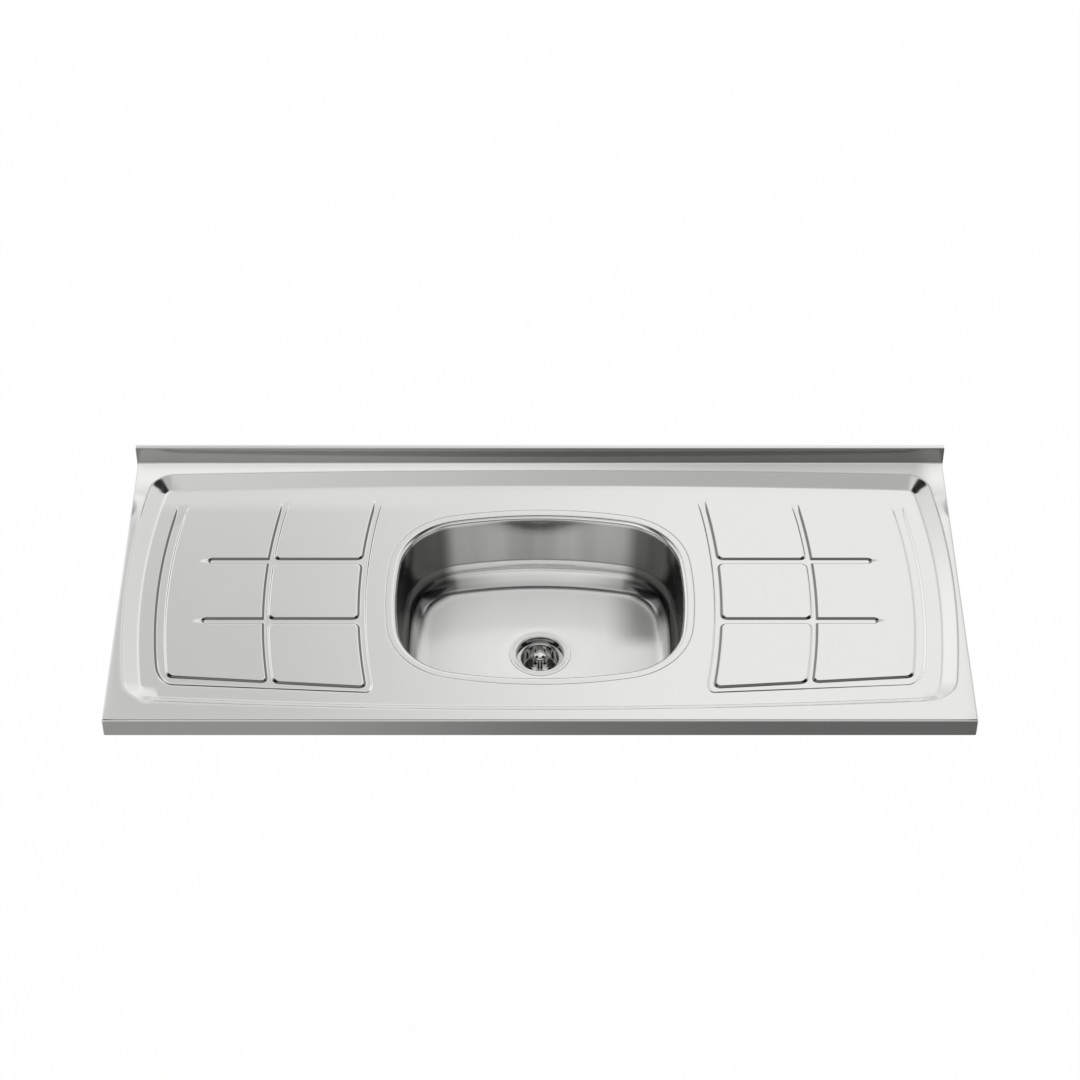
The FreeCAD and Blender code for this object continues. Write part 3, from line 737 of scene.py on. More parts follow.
cup_section = both_skins([(SCREW_RADIUS, CUP_FLOOR_Z, 0), (THROAT, CUP_FLOOR_Z, 4.0),
                          (THROAT, CUP_LEDGE_Z, 0.9), (CUP_MOUTH, CUP_LEDGE_Z, 1.2),
                          (CUP_MOUTH, BEAD_Z, 2.2), (BEAD_RADII[0], BEAD_Z, 1.5),
                          (BEAD_RADII[1], BOWL_FLOOR_Z, 1.5), (FLANGE_RADIUS, BOWL_FLOOR_Z, 0)])
cup = turned("strainer_cup", cup_section)
cup = punched(cup, hole_ring(CUP_HOLE, CUP_PITCH, CUP_HOLES, CUP_FLOOR_Z))
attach(cup, "countertop")
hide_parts("drain_cup")
print("strainer cup", len(cup.data.polygons), "faces")

# %% [markdown]
# The basket is a small cup of its own. Its rim rests on the cup's ledge, and slots in the wall and holes
# in the floor let the water out.

# %% The basket
RIM_RADIUS, BASKET_WALL = 33.8, 27.4
BASKET_RIM_Z, BASKET_FLOOR_Z = -108.9, -133.9
STEM_BORE = 3.08
BASKET_HOLE, BASKET_PITCH, BASKET_HOLES = 2.6, 13.5, 6
SLOTS, SLOT_HALF, SLOT_START, SLOT_REACH = 12, (1.3, 5.5), 6.0, 14.0

basket_section = both_skins([(STEM_BORE, BASKET_FLOOR_Z, 0), (BASKET_WALL, BASKET_FLOOR_Z, 3.0),
                             (BASKET_WALL, BASKET_RIM_Z, 2.0), (RIM_RADIUS, BASKET_RIM_Z, 0)])
basket = turned("strainer_basket", basket_section)
slot_z = (BASKET_FLOOR_Z + BASKET_RIM_Z) / 2
punches = hole_ring(BASKET_HOLE, BASKET_PITCH, BASKET_HOLES, BASKET_FLOOR_Z)
for angle in 2 * math.pi * (np.arange(SLOTS) + 0.5) / SLOTS:
    out = np.array((math.cos(angle), math.sin(angle), 0))
    start = np.array((0, BOWL_Y, slot_z)) + out * (BASKET_WALL - SLOT_START)
    outline = slot_outline(*SLOT_HALF, SLOT_STEPS)
    punches.append(punch(outline, start, (-out[1], out[0], 0), (0, 0, 1), out * SLOT_REACH))
basket = punched(basket, punches)
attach(basket, "basket")
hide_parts("basket")
print("basket", len(basket.data.polygons), "faces")

# %% [markdown]
# The knob is the one turned part that hands touch: a low dome on a neck, polished, and lighter than the cup,
# whose colour is painted dark as shade.
# Its stem runs down through the basket, with a collar above the floor and the rubber stopper below it.

# %% The knob and its stem
KNOB_TOP_Z, KNOB_RADIUS = -101.5, 9.5
STEM_RADIUS, STEM_END_Z, STEM_CHAMFER = 3.0, -140.4, 0.4
COLLAR_RADIUS, COLLAR_Z = 6.0, (-133.6, -131.2)
NECK, DOME_BEND = [(3.8, -131.2, 0.8), (3.4, -113.0, 3.0), (8.2, -109.5, 0.8)], (4.0, 12.0)

knob_path = rounded_path([(0, STEM_END_Z, 0), (STEM_RADIUS - STEM_CHAMFER, STEM_END_Z, 0),
                          (STEM_RADIUS, STEM_END_Z + STEM_CHAMFER, 0), (STEM_RADIUS, COLLAR_Z[0], 0),
                          (COLLAR_RADIUS, COLLAR_Z[0], 0.3), (COLLAR_RADIUS, COLLAR_Z[1], 0.5), *NECK,
                          (KNOB_RADIUS, -107.4, 1.6), (KNOB_RADIUS, -103.0, 2.2),
                          (DOME_BEND[0], KNOB_TOP_Z, DOME_BEND[1]), (0, KNOB_TOP_Z, 0)])
knob = turned("basket_knob_turned", knob_path, closed=False)
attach(knob, "stem")
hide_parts("basket_knob")
print("knob", len(knob.data.polygons), "faces")

# %% [markdown]
# Every finish below is a shader, and a shader is arithmetic on values that change over the surface. To
# write it as arithmetic, a small class wraps a socket and turns + - * / into Math nodes. Two shapes come
# back again and again, so they get names of their own: within, a mask that is 1 over a band and eased at
# both its ends, and between, which blends two numbers by a mask.

# %% Shader arithmetic
class Value:
    """A socket that carries a value over the surface."""

    def __init__(self, finish, socket):
        self.finish, self.socket = finish, socket

    def math(self, operation, *others):
        """A Math node on this value and the others."""
        return self.finish.math(operation, self, *others)

    def __add__(self, other):
        return self.math("ADD", other)

    def __sub__(self, other):
        return self.math("SUBTRACT", other)

    def __rsub__(self, other):
        return self.finish.math("SUBTRACT", other, self)

    def __mul__(self, other):
        return self.math("MULTIPLY", other)

    def __truediv__(self, other):
        return self.math("DIVIDE", other)

    def __pow__(self, other):
        return self.math("POWER", other)

    def __neg__(self):
        return self.math("MULTIPLY", -1.0)

    def __abs__(self):
        return self.math("ABSOLUTE")

    __radd__, __rmul__ = __add__, __mul__

    def smooth(self, low, high):
        """0 below low, 1 above high, eased between."""
        inputs = {0: self, 1: low, 2: high, 3: 0.0, 4: 1.0}
        return self.finish.add("ShaderNodeMapRange", {"interpolation_type": "SMOOTHSTEP"}, inputs)

    def fading(self, low, high):
        """1 below low, 0 above high, eased between."""
        return 1 - self.smooth(low, high)

    def within(self, start, full, fade, end):
        """1 from full to fade, and eased down to 0 at start and at end."""
        return self.smooth(start, full) * self.fading(fade, end)

    def between(self, first, second):
        """The first number where this mask is 0, the second where it is 1."""
        return first + (second - first) * self

    def toned(self, mask, factor):
        """This value times the factor where the mask is 1, and as it was where it is 0."""
        return self * (1 - mask * (1 - factor))


# %% [markdown]
# Any other node comes from one method that sets the node's options first and then its inputs. A finish is
# the node tree of one material, or of the world, under construction.

# %% Node trees
class Finish:
    """A node tree under construction, for a material or for the world."""

    def __init__(self, owner):
        self.owner = owner
        owner.use_nodes = True
        self.tree = owner.node_tree
        self.tree.nodes.clear()

    def add(self, kind, settings=None, inputs=None, output=0):
        """One output of a new node, whose settings are made first and its inputs set or linked after."""
        node = self.tree.nodes.new(kind)
        for name, value in (settings or {}).items():
            if name == "stops":
                ramp = node.color_ramp
                while len(ramp.elements) < len(value):
                    ramp.elements.new(0.5)
                for stop, (place, shade) in zip(ramp.elements, value):
                    stop.position, stop.color = place, (shade, shade, shade, 1.0)
            else:
                setattr(node, name, value)
        for name, value in (inputs or {}).items():
            if isinstance(value, Value):
                self.tree.links.new(value.socket, node.inputs[name])
            else:
                node.inputs[name].default_value = value
        return Value(self, node.outputs[output]) if node.outputs else None

    def math(self, operation, *values):
        return self.add("ShaderNodeMath", {"operation": operation}, dict(enumerate(values)))

    def place(self):
        """The point on the piece, in metres from the part's origin."""
        return self.add("ShaderNodeTexCoord", output="Object")

    def parts_of(self, vector):
        """A vector's x, y and z."""
        return [self.add("ShaderNodeSeparateXYZ", {}, {0: vector}, axis) for axis in ("X", "Y", "Z")]

    def tilt(self):
        """The direction that the surface faces, as x, y and z."""
        return self.parts_of(self.add("ShaderNodeNewGeometry", output="Normal"))

    def vector(self, operation, *vectors):
        return self.add("ShaderNodeVectorMath", {"operation": operation}, dict(enumerate(vectors)))

    def noise(self, scales, scale=1.0, detail=2.0, roughness=0.5):
        """Noise over the piece, stretched by the scales along x, y and z."""
        inputs = {"Scale": scale, "Detail": detail, "Roughness": roughness}
        inputs["Vector"] = self.vector("MULTIPLY", self.place(), scales)
        return self.add("ShaderNodeTexNoise", {}, inputs)

    def ramp(self, value, stops):
        return self.add("ShaderNodeValToRGB", {"stops": stops}, {0: value})

    def blended(self, share, first, second, how="MIX"):
        """A colour between two colours; each is three numbers or a value."""
        settings = {"data_type": "RGBA", "blend_type": how, "clamp_factor": False}
        colours = [colour if isinstance(colour, Value) else (*colour, 1.0) for colour in (first, second)]
        return self.add("ShaderNodeMix", settings, {0: share, 6: colours[0], 7: colours[1]}, 2)

    def raised(self, height, distance, strength=1.0):
        return self.add("ShaderNodeBump", {}, {"Height": height, "Distance": distance, "Strength": strength})

    def coat(self, **inputs):
        """The surface itself, from the names of its sockets."""
        names = {name.replace("_", " "): value for name, value in inputs.items()}
        surface = self.add("ShaderNodeBsdfPrincipled", {}, names)
        self.add("ShaderNodeOutputMaterial", {}, {"Surface": surface})
        return self.owner


def dress(piece, material):
    """Puts one material on a piece."""
    piece.data.materials.clear()
    piece.data.materials.append(material)


# %% [markdown]
# Satin stainless steel is a mirror with very fine parallel scratches. Seen from a step away the scratches
# blur the reflection and leave faint streaks. A fine noise, stretched along the grain, drives the
# roughness and a shallow bump, and the base colour stays a nearly neutral, slightly warm grey.

# %% Steel with a grain
BLACK, LIGHT_STEEL = (0.0, 0.0, 0.0), (0.86, 0.86, 0.845)
STREAK_BUMP, CLOUD_SCALE, SPREAD = 0.6, 9.0, 0.05
UNSTRETCHED = (1.0, 1.0, 1.0)


class SteelFinish(Finish):
    """Steel with a grain stretched along one direction."""

    def __init__(self, name, grain):
        super().__init__(bpy.data.materials.new(name))
        self.streaks = self.noise(grain, detail=3.0, roughness=0.6)
        self.clouds = self.noise(UNSTRETCHED, CLOUD_SCALE)

    def finished(self, tone, metal, roughness, scratch=0.00001, brushed=0.0, lean=None):
        """The material, with scratches of the given height; lean tips the way that its surface faces."""
        facing = self.raised(self.streaks, scratch, STREAK_BUMP)
        if lean is not None:
            facing = self.vector("NORMALIZE", self.vector("ADD", facing, lean))
        uneven = (self.streaks - 0.5) * SPREAD + (self.clouds - 0.5) * SPREAD
        return self.coat(Base_Color=self.blended(tone, BLACK, LIGHT_STEEL), Metallic=metal,
                         Anisotropic=brushed, Roughness=roughness + uneven, Normal=facing)


# %% [markdown]
# The grooves' walls are painted dark where they face the front or the middle of the top, but not where they
# run out at the rear: painted shade in place of the dark reflections such walls show. The rounded crest
# round the tray is painted a shade darker than the ledge, a painted dark line in place of a reflection.
# Height, place and tilt tell all these apart, so masks made of them change the tone. All lengths in the
# shaders are in metres.

# %% The sheet's steel: painted shade in the grooves and on the crest
SHEET_GRAIN, STREAK_TONES = (14.0, 900.0, 900.0), (0.98, 1.02)
GROOVE_SHADE_TONE, CREST_SHADE_TONE = 0.26, 0.78
GROOVE_HEIGHTS, CREST_HEIGHTS = (0.0175, 0.018, 0.0210, 0.0211), (0.0293, 0.0296, 0.02985, 0.02998)
GROOVE_TILT, GROOVE_SHADE_TILT, CREST_TILT = (0.4, 0.6), (0.10, 0.36), (0.8, 0.9)
RUNOUT_Y, FRONT_GROOVE_Y, OUTER_GROOVE_X = (-0.110, -0.095), (-0.450, -0.444), (0.50, 0.51)
FRONT_GROOVE_X, FRONT_GROOVE_SHARES = (0.3, 0.5), (1.0, 0.5)

sheet_steel = SteelFinish("satin sheet steel", SHEET_GRAIN)
place_x, place_y, place_z = sheet_steel.parts_of(sheet_steel.place())
tip_x, tip_y, tip_z = sheet_steel.tilt()
to_front = -tip_y
to_middle = -tip_x * place_x.math("SIGN")
front_groove = tip_y * place_y.fading(*FRONT_GROOVE_Y)
shaded = (to_front * place_y.fading(*RUNOUT_Y)).math("MAXIMUM", to_middle * place_x.fading(*OUTER_GROOVE_X))
right_share = place_x.smooth(*FRONT_GROOVE_X).between(*FRONT_GROOVE_SHARES)
shaded = shaded.math("MAXIMUM", front_groove * right_share)
# Painted shade: groove walls that face the front or the middle of the top are darkened in place of their
# dark reflections.
painted_groove_shade = shaded.smooth(*GROOVE_SHADE_TILT) * place_z.within(*GROOVE_HEIGHTS) * tip_z.smooth(*GROOVE_TILT)
# Painted shade: a thin darker line along the tray's crest, in place of a reflection.
crest = place_z.within(*CREST_HEIGHTS) * tip_z.smooth(*CREST_TILT)
sheet_tone = sheet_steel.streaks.between(*STREAK_TONES).toned(painted_groove_shade, GROOVE_SHADE_TONE).toned(crest, CREST_SHADE_TONE)
print("grooves reach", GROOVE_HEIGHTS[2], "m, the crest", CREST_HEIGHTS[3], "m")

# %% [markdown]
# The folded upstand's face is half matt and painted dark, darker towards the right: painted shade in place
# of the dark reflection it shows. The slightly crowned ledge before it is matt, and its colour is painted
# brighter at the left and darker from the middle to the right: painted light and shade. The strip between
# the slope and the left pads is painted a shade brighter, a painted highlight. The tray's two front corners
# are made matt and a little darker in colour, a round spot that paints a soft glint there.

# %% The sheet's steel: painted shade and light on upstand, ledge and corners
UPSTAND_SHADE_TONES, UPSTAND_X = (0.36, 0.22), (-0.35, 0.15)
UPSTAND_TILT, UPSTAND_FOOT = (0.5, 0.8), (0.0305, 0.0325)
LEDGE_LIGHT_TONES, LEDGE_DARK_X, LEDGE_CROWN = (1.16, 0.78), (-0.2, 0.35, 0.555, 0.585), 0.5
LEDGE_HEIGHTS, LEDGE_Y = (0.0294, 0.0298, 0.0301, 0.0306), (-0.17, -0.035)
STRIP_LIGHT_TONE, STRIP_X, STRIP_Y = 1.13, (-0.35, -0.05), (-0.112, -0.078)
STRIP_TILT, STRIP_TOP = (0.985, 0.998), (0.024, 0.028)
CORNER_GLINT_TONE, CORNER_GLINT_SPOT, CORNER_GLINT_EDGE = 0.9, (0.541, -0.482), (0.007, 0.020)
UPSTAND_MATT, CORNER_GLINT_MATT = 0.5, 0.85

# Painted shade: the upstand's face is darkened, more towards the right, in place of the dark reflection it
# shows.
upstand = to_front.smooth(*UPSTAND_TILT) * place_z.smooth(*UPSTAND_FOOT)
painted_upstand_shade = place_x.smooth(*UPSTAND_X).between(*UPSTAND_SHADE_TONES)
# Painted light and shade: the rear ledge is made matt, and its colour is brightened at the left and at the
# very right end and darkened from the middle to the right.
ledge = place_z.within(*LEDGE_HEIGHTS) * place_y.smooth(*LEDGE_Y)
painted_ledge_light = place_x.within(*LEDGE_DARK_X).between(*LEDGE_LIGHT_TONES)
# Painted highlight: the strip between the tray's slope and the left pads is painted a shade brighter.
painted_light_strip = place_y.smooth(*STRIP_Y) * tip_z.smooth(*STRIP_TILT) * place_z.fading(*STRIP_TOP)
# Painted highlight: a round matt spot with slightly darker colour at each front corner of the tray stands in
# for the corner's glint.
off_x, off_y = abs(place_x) - CORNER_GLINT_SPOT[0], place_y - CORNER_GLINT_SPOT[1]
satin = ((off_x * off_x + off_y * off_y) ** 0.5).fading(*CORNER_GLINT_EDGE)
sheet_tone = sheet_tone.toned(upstand, painted_upstand_shade).toned(ledge, painted_ledge_light)
sheet_tone = sheet_tone.toned(painted_light_strip * place_x.fading(*STRIP_X), STRIP_LIGHT_TONE).toned(satin, CORNER_GLINT_TONE)
sheet_metal = 1 - ledge - UPSTAND_MATT * upstand - CORNER_GLINT_MATT * satin
crowned = sheet_steel.add("ShaderNodeCombineXYZ", {}, {"Y": ledge * -LEDGE_CROWN})
dress(top_sheet, sheet_steel.finished(sheet_tone, sheet_metal, roughness=0.12, lean=crowned))
print("sheet steel made")

# %% [markdown]
# The bowl's walls are painted darker than its floor, darkest round the ends, with soft upright streaks:
# painted shade in place of the dark reflections the walls show. A thin dark line is painted where the wall
# meets the fillet. The fillet is painted darker at the ends, in the low rear corners and along a band at the
# rear, all as painted shade. The floor is blasted to a pale satin, with a painted shadow at its right rear
# in place of the end wall's reflection. Height and tilt tell these apart. One table gives, for each part of
# the section, the heights at which it starts, is full, starts to fade and ends.

# %% The bowl's steel and its painted shade
REAR_WALL_SHADE, END_WALL_SHADE, WALL_STREAK_TONES = 0.55, 0.15, (0.3, 1.7)
PAINTED_LINE_TONE, FILLET_END_SHADE, LOW_CORNER_SHADE, REAR_BAND_SHADE = 0.5, 0.15, 0.25, 0.88
PAINTED_SHADOW_TONE, BLASTED_TONE, BLASTED_MATT, SOFT_MATT = 0.5, 1.12, 0.85, 0.4
BOWL_GRAIN, WALL_STREAK_GRAIN = (260.0, 260.0, 9.0), (11.0, 11.0, 0.3)
BOWL_HEIGHTS = {
    "wall": (-0.0625, -0.0600, 0.010, 0.016),
    "painted dark line": (-0.0632, -0.0622, -0.0605, -0.0595),
    "soft band": (-0.080, -0.070, -0.0630, -0.0610),
    "fillet": (-0.0915, -0.084, -0.0625, -0.0600),
    "rear band": (-0.0915, -0.084, -0.072, -0.064),
    "low fillet": (-0.096, -0.092, -0.086, -0.076),
}
BLASTED_TOP, PAINTED_SHADOW_TOP = (-0.0985, -0.095), (-0.0985, -0.097)
END_TILT, CORNER_TILT, REAR_TILT, LEAST_LEVEL = (0.12, 0.42), (0.06, 0.28), (0.0, 0.6), 0.02
REAR_HALF_Y, PAINTED_SHADOW_X, PAINTED_SHADOW_Y = (-0.24, -0.20), (0.09, 0.15), (-0.275, -0.235)

bowl_steel = SteelFinish("drawn bowl steel", BOWL_GRAIN)
place_x, place_y, height = bowl_steel.parts_of(bowl_steel.place())
tip_x, tip_y = bowl_steel.tilt()[:2]
at = {name: height.within(*stops) for name, stops in BOWL_HEIGHTS.items()}
sideways = abs(tip_x) / ((tip_x * tip_x + tip_y * tip_y) ** 0.5 + LEAST_LEVEL)
end, rear_half = sideways.smooth(*END_TILT), place_y.smooth(*REAR_HALF_Y)
off_front_wall = tip_y.fading(*REAR_TILT)
# Painted shade: the walls' colour is darkened, most round the ends and with soft upright streaks, in place
# of the dark reflections the walls show.
painted_wall_streaks = bowl_steel.noise(WALL_STREAK_GRAIN, detail=3.0)
painted_wall_shade = end.between(REAR_WALL_SHADE, END_WALL_SHADE) * painted_wall_streaks.between(*WALL_STREAK_TONES)
low_corner = at["low fillet"] * sideways.smooth(*CORNER_TILT) * rear_half
# Painted shadow: a dark patch on the floor's right rear, in place of the end wall's reflection.
shadow = place_x.smooth(*PAINTED_SHADOW_X) * place_y.smooth(*PAINTED_SHADOW_Y) * height.fading(*PAINTED_SHADOW_TOP)
blasted = height.fading(*BLASTED_TOP)
# Painted shade: a thin dark line where the wall meets the fillet, and a darker fillet at the ends, in the
# low rear corners and along a band at the rear.
bowl_tone = (at["wall"] * off_front_wall).between(1.0, painted_wall_shade).toned(at["painted dark line"], PAINTED_LINE_TONE)
bowl_tone = bowl_tone.toned(at["fillet"] * end * off_front_wall, FILLET_END_SHADE)
bowl_tone = bowl_tone.toned(low_corner, LOW_CORNER_SHADE).toned(at["rear band"] * rear_half, REAR_BAND_SHADE)
bowl_tone = bowl_tone.toned(shadow, PAINTED_SHADOW_TONE).toned(blasted, BLASTED_TONE)
bowl_metal = 1 - BLASTED_MATT * blasted - SOFT_MATT * at["soft band"]
dress(bowl, bowl_steel.finished(bowl_tone, bowl_metal, roughness=0.15, scratch=0.00002, brushed=0.7))
print("bowl steel made")

# %% [markdown]
# The strainer's parts are polished, so they mirror the room with hardly any blur. Only the top of the cup's
# flange is as pale as the bowl's floor. Below it the cup's colour is painted dark, as painted shade inside
# the drain's recess.

# %% Polished steel
POLISH_GRAIN = (300.0, 300.0, 300.0)
FLANGE_HEIGHTS, FLANGE_METAL = (-0.1030, -0.1003), 0.3


def polished(name, tone, flange=False):
    """Polished steel; with flange, it turns pale and mostly matt up at the flange."""
    steel = SteelFinish(name, POLISH_GRAIN)
    metal = 1.0
    if flange:
        level = steel.parts_of(steel.place())[2].smooth(*FLANGE_HEIGHTS)
        tone, metal = level.between(tone, 1.0), level.between(1.0, FLANGE_METAL)
    return steel.finished(tone, metal, roughness=0.1)


# Painted shade: the cup's colour is dark below its flange, standing for the shade inside the drain's recess.
dress(cup, polished("cup steel", 0.35, flange=True))
dress(basket, polished("basket steel", 0.75))
dress(knob, polished("knob steel", 1.0))
print("polished steel made")

# %% [markdown]
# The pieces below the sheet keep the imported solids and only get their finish: sawn pine, raw particle
# board, bitumen pads, rubber, moulded plastic, brass and bright screws. Each shows what its making leaves
# behind, and each is mixed from two colours by one value, which also raises the surface a little.

# %% The finishes below the sheet
WOOD_RINGS, RING_EDGE, RING_SHARE = 60.0, (-0.2, 1.0), 0.6
ALONG_GRAIN, ACROSS_GRAIN, ALONG_FIBRE, ACROSS_FIBRE = 1.2, 26.0, 12.0, 700.0
FLAKE_STRETCH, FLAKE_SCALE = (0.6, 1.4, 1.0), 260.0
LATHE_GRAIN = (90.0, 90.0, 2600.0)
PINE, FLAKES = [(0.74, 0.54, 0.31), (0.46, 0.27, 0.12)], [(0.62, 0.47, 0.29), (0.34, 0.23, 0.12)]
BITUMEN, SEAL_RUBBER = [(0.012, 0.012, 0.013), (0.035, 0.034, 0.033)], [(0.015,) * 3, (0.03,) * 3]
STOPPER_RUBBER, WHITE_PLASTIC = [(0.018,) * 3, (0.03,) * 3], [(0.80, 0.80, 0.77), (0.86, 0.86, 0.84)]
BRASS, SCREW_STEEL = [(0.78, 0.56, 0.24), (0.60, 0.41, 0.15)], [(0.72, 0.72, 0.71), (0.55, 0.55, 0.54)]


class PlainFinish(Finish):
    """A material that is mixed from two colours by one value, with the same value raised a little."""

    def finished(self, share, first, second, roughness, height, metal=0.0):
        return self.coat(Base_Color=self.blended(share, first, second), Roughness=roughness, Metallic=metal,
                         Normal=self.raised(share, height))


def plain(name):
    return PlainFinish(bpy.data.materials.new(name))


def sawn_pine(name, along):
    """Pine whose rings run along one axis."""
    wood = plain(name)
    grain = tuple(ALONG_GRAIN if axis == along else ACROSS_GRAIN for axis in "xyz")
    fine = tuple(ALONG_FIBRE if axis == along else ACROSS_FIBRE for axis in "xyz")
    late = (wood.noise(grain, roughness=0.4) * WOOD_RINGS).math("SINE").smooth(*RING_EDGE)
    share = late * RING_SHARE + wood.noise(fine) * (1 - RING_SHARE)
    return wood.finished(share, *PINE, 0.75, 0.0002)


def chipped_board():
    """Pressed flakes, each with its own shade."""
    board = plain("raw particle board")
    flat = board.vector("MULTIPLY", board.place(), FLAKE_STRETCH)
    cells = board.add("ShaderNodeTexVoronoi", {}, {"Vector": flat, "Scale": FLAKE_SCALE}, "Color")
    flake = board.add("ShaderNodeSeparateColor", {}, {0: cells})
    return board.finished(flake, *FLAKES, 0.85, 0.0002)


def speckled(name, first, second, scale, roughness, height):
    """A moulded or rolled surface with fine specks."""
    specks = plain(name)
    return specks.finished(specks.noise(UNSTRETCHED, scale, 3.0), first, second, roughness, height)


def turned_metal(name, first, second):
    """Metal with the fine rings that a lathe leaves."""
    metal = plain(name)
    return metal.finished(metal.noise(LATHE_GRAIN), first, second, 0.3, 0.00005, 1.0)


finishes = {
    "pine": sawn_pine("sawn pine lengthwise", "x"),
    "particle_board": chipped_board(),
    "damping_sheet": speckled("bitumen sheet", *BITUMEN, 420.0, 0.7, 0.0004),
    "seal_rubber": speckled("seal rubber", *SEAL_RUBBER, 900.0, 0.55, 0.0001),
    "stopper_rubber": speckled("stopper rubber", *STOPPER_RUBBER, 900.0, 0.5, 0.0001),
    "drain_plastic": speckled("moulded plastic", *WHITE_PLASTIC, 650.0, 0.45, 0.00006),
    "hub_brass": turned_metal("turned brass", *BRASS),
    "strainer_steel": turned_metal("bright screw steel", *SCREW_STEEL),
}
across_pine = sawn_pine("sawn pine crosswise", "y")
replaced = {"top_sheet", "bowl", "drain_cup", "basket", "basket_knob"}
for part in frame["record"]["subparts"]:
    node, slot = part["node"], part["material_slot"]
    if node in replaced:
        continue
    crosswise = slot == "pine" and ("end" in node or "cross" in node)
    dress(frame["nodes"][node], across_pine if crosswise else finishes[slot])
print("dressed", len(frame["nodes"]) - len(replaced), "packed nodes")

# %% [markdown]
# The stage is a pale floor at the height of a kitchen floor below the top. Like the paper sweep in a
# product studio it is evenly lit to white, so to camera, glossy and transmitted rays most of it glows with
# a strength of 1, while a part of it stays ordinary matt paint and keeps the object's shadow.

# %% The floor
FLOOR_Z, FLOOR_HALF = -0.88, 14.0
FLOOR_PAINT, WHITE, GLOW_SHARE = (0.92, 0.92, 0.92), (1.0, 1.0, 1.0), 0.96


def card(name, x_ends, y_ends, z_ends):
    """A flat four-sided card on the stage: level, or upright where both ends of y are alike."""
    (x0, x1), (y0, y1), (z0, z1) = x_ends, y_ends, z_ends
    points = np.array([(x0, y0, z0), (x1, y0, z0), (x1, y1, z1), (x0, y1, z1)]) / METRE
    piece = shown(name, points, [(0, 1, 2, 3)])
    return piece


def glowing(finish, colour):
    """Light of strength 1 in the given colour."""
    return finish.add("ShaderNodeEmission", {}, {"Color": colour, "Strength": 1.0})


floor = card("studio_floor", (-FLOOR_HALF, FLOOR_HALF), (-FLOOR_HALF, FLOOR_HALF), (FLOOR_Z, FLOOR_Z))
paint = Finish(bpy.data.materials.new("pale floor"))
camera_ray, glossy_ray, clear_ray = [
    paint.add("ShaderNodeLightPath", output=f"Is {kind} Ray")
    for kind in ("Camera", "Glossy", "Transmission")]
seen = (camera_ray + glossy_ray + clear_ray).smooth(0.0, 1.0) * GLOW_SHARE
matt = paint.add("ShaderNodeBsdfDiffuse", {}, {"Color": (*FLOOR_PAINT, 1.0)})
upper = paint.add("ShaderNodeMixShader", {}, {0: seen, 1: matt, 2: glowing(paint, (*WHITE, 1.0))})
below = paint.add("ShaderNodeNewGeometry", output="Backfacing")
clear = paint.add("ShaderNodeBsdfTransparent")
both_sides = paint.add("ShaderNodeMixShader", {}, {0: below, 1: upper, 2: clear})
paint.add("ShaderNodeOutputMaterial", {}, {0: both_sides})
dress(floor, paint.owner)
print("floor at", FLOOR_Z, "m")

# %% [markdown]
# Polished metal has no colour of its own to show; it shows the room. A studio therefore hangs cards round
# it: here dark panels overhead that leave the light free in front of the bowl, and a dark cloth and
# curtain from below it to the front. They only matter as reflections, so they are hidden from the camera
# and cast nothing.

# %% The reflected cards
CARD_SPAN = 2.4
DARK, PANEL_Z, FAR_X, NEAR_X = (0.04, 0.04), (1.5, 1.5), 8.0, 0.8
CURTAIN_Y, CURTAIN_TOP, CLOTH_Z = -4.0, 1.2, FLOOR_Z + 0.01
CLOTH_SHADES = (0.32, 0.32, 0.315, 0.19, 0.147, 0.14, 0.14)
CURTAIN_SHADES = (0.35, 0.34, 0.3, 0.19, 0.155, 0.155, 0.175)


def reflected_card(name, x_ends, y_ends, z_ends, shades):
    """A card seen only in reflections, shaded from left to right over the middle of its length."""
    piece = card(name, x_ends, y_ends, z_ends)
    piece.visible_camera = piece.visible_diffuse = piece.visible_shadow = piece.visible_transmission = False
    paint = Finish(bpy.data.materials.new(name))
    along = paint.parts_of(paint.place())[0] / CARD_SPAN + 0.5
    stops = [(k / (len(shades) - 1), shade) for k, shade in enumerate(shades)]
    paint.add("ShaderNodeOutputMaterial", {}, {0: glowing(paint, paint.ramp(along, stops))})
    dress(piece, paint.owner)


reflected_card("front_cloth", (-3.0, 3.0), (CURTAIN_Y, -0.6), (CLOTH_Z, CLOTH_Z), CLOTH_SHADES)
reflected_card("front_curtain", (-4.0, 4.0), (CURTAIN_Y, CURTAIN_Y), (CLOTH_Z, CURTAIN_TOP), CURTAIN_SHADES)
reflected_card("middle_panel", (-FAR_X, FAR_X), (-0.36, 0.05), PANEL_Z, DARK)
reflected_card("left_panel", (-FAR_X, -NEAR_X), (-1.15, -0.36), PANEL_Z, DARK)
reflected_card("right_panel", (NEAR_X, FAR_X), (-1.15, -0.36), PANEL_Z, DARK)
print("cards hung")

# %% [markdown]
# The room itself is the world's light, a plain white from all round. What the steel mirrors of it are pale
# walls, brighter in front and a little dimmer at the left rear. What a bend in the steel shows depends on
# how far it tips, so the walls' tones are given along the arc from the rear horizon over the zenith to the
# front horizon. Two black lamp hoods hang over the rear corners.

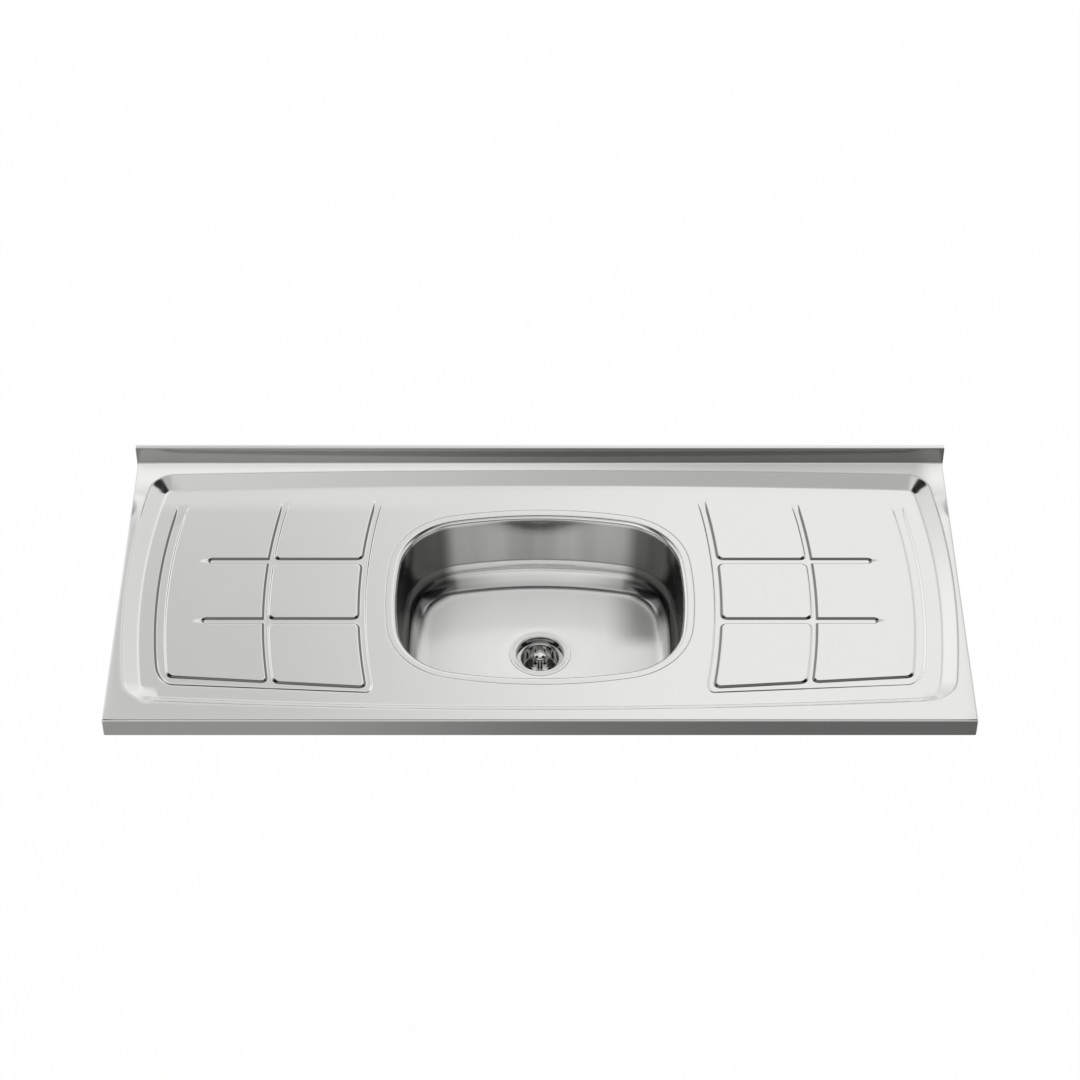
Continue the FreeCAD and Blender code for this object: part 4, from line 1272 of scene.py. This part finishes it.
# %% The room's light
LEFT_ARC = [(0.0, 0.80), (0.215, 0.78), (0.235, 0.68), (0.26, 0.60), (0.33, 0.64), (0.45, 0.72),
            (0.49, 0.62), (0.62, 0.54), (0.755, 0.74), (0.86, 0.90), (1.0, 0.90)]
RIGHT_ARC = [(0.0, 0.95), (0.215, 0.95), (0.235, 0.93), (0.33, 0.92), (0.42, 0.49), (0.49, 0.47),
             (0.54, 0.48), (0.62, 0.50), (0.755, 0.68), (0.86, 0.85), (1.0, 0.90)]
ENDS_ARC = [(0.0, 1.35), (0.3, 1.3), (0.42, 1.0), (0.58, 1.0), (0.7, 0.80), (1.0, 0.80)]
LEFT_TO_RIGHT, SIDE_WALLS, SIDE_SHADE = (-0.11, 0.05), (0.6, 0.85), (0.75, 0.75, 0.75)
HOOD, HOOD_EDGE, HOOD_SHADE = (0.40, 0.33, 0.855), (0.965, 0.978), (0.01, 0.01, 0.01)

room = Finish(bpy.data.worlds.new("studio room"))
bpy.context.scene.world = room.owner
east, north, up = room.parts_of(room.add("ShaderNodeTexCoord", output="Generated"))
arc = up.math("ARCTAN2", north) / math.pi
walls = room.blended(east.smooth(*LEFT_TO_RIGHT), room.ramp(arc, LEFT_ARC), room.ramp(arc, RIGHT_ARC))
walls = room.blended(1.0, walls, room.ramp(east * 0.5 + 0.5, ENDS_ARC), "MULTIPLY")
hood = (abs(east) * HOOD[0] + north * HOOD[1] + up * HOOD[2]).smooth(*HOOD_EDGE)
walls = room.blended(hood, walls, HOOD_SHADE)
walls = room.blended(abs(east).smooth(*SIDE_WALLS), walls, SIDE_SHADE)
sky = room.blended(room.add("ShaderNodeLightPath", output="Is Glossy Ray"), WHITE, walls)
light = room.add("ShaderNodeBackground", {}, {"Color": sky, "Strength": 1.0})
room.add("ShaderNodeOutputWorld", {}, {0: light})
print("room's light set")

# %% [markdown]
# The camera stands in front and above, as for a catalogue picture, far enough away that the long top
# hardly narrows towards the rear.

# %% The camera
EYE = Vector((0.0, -3.35256, 3.08811))
AIM = Vector((0.0, -0.1736, 0.030))
LENS, SENSOR = 101.317, 36.0
camera = bpy.data.objects.new("camera", bpy.data.cameras.new("camera"))
bpy.context.scene.collection.objects.link(camera)
camera.location = EYE
camera.rotation_mode = "QUATERNION"
camera.rotation_quaternion = (AIM - EYE).to_track_quat("-Z", "Y")
camera.data.lens, camera.data.sensor_width = LENS, SENSOR
bpy.context.scene.camera = camera
bpy.context.scene.view_settings.view_transform = "Standard"
print("camera looks down by", round(math.degrees(math.asin((EYE - AIM).normalized().z)), 1), "degrees")
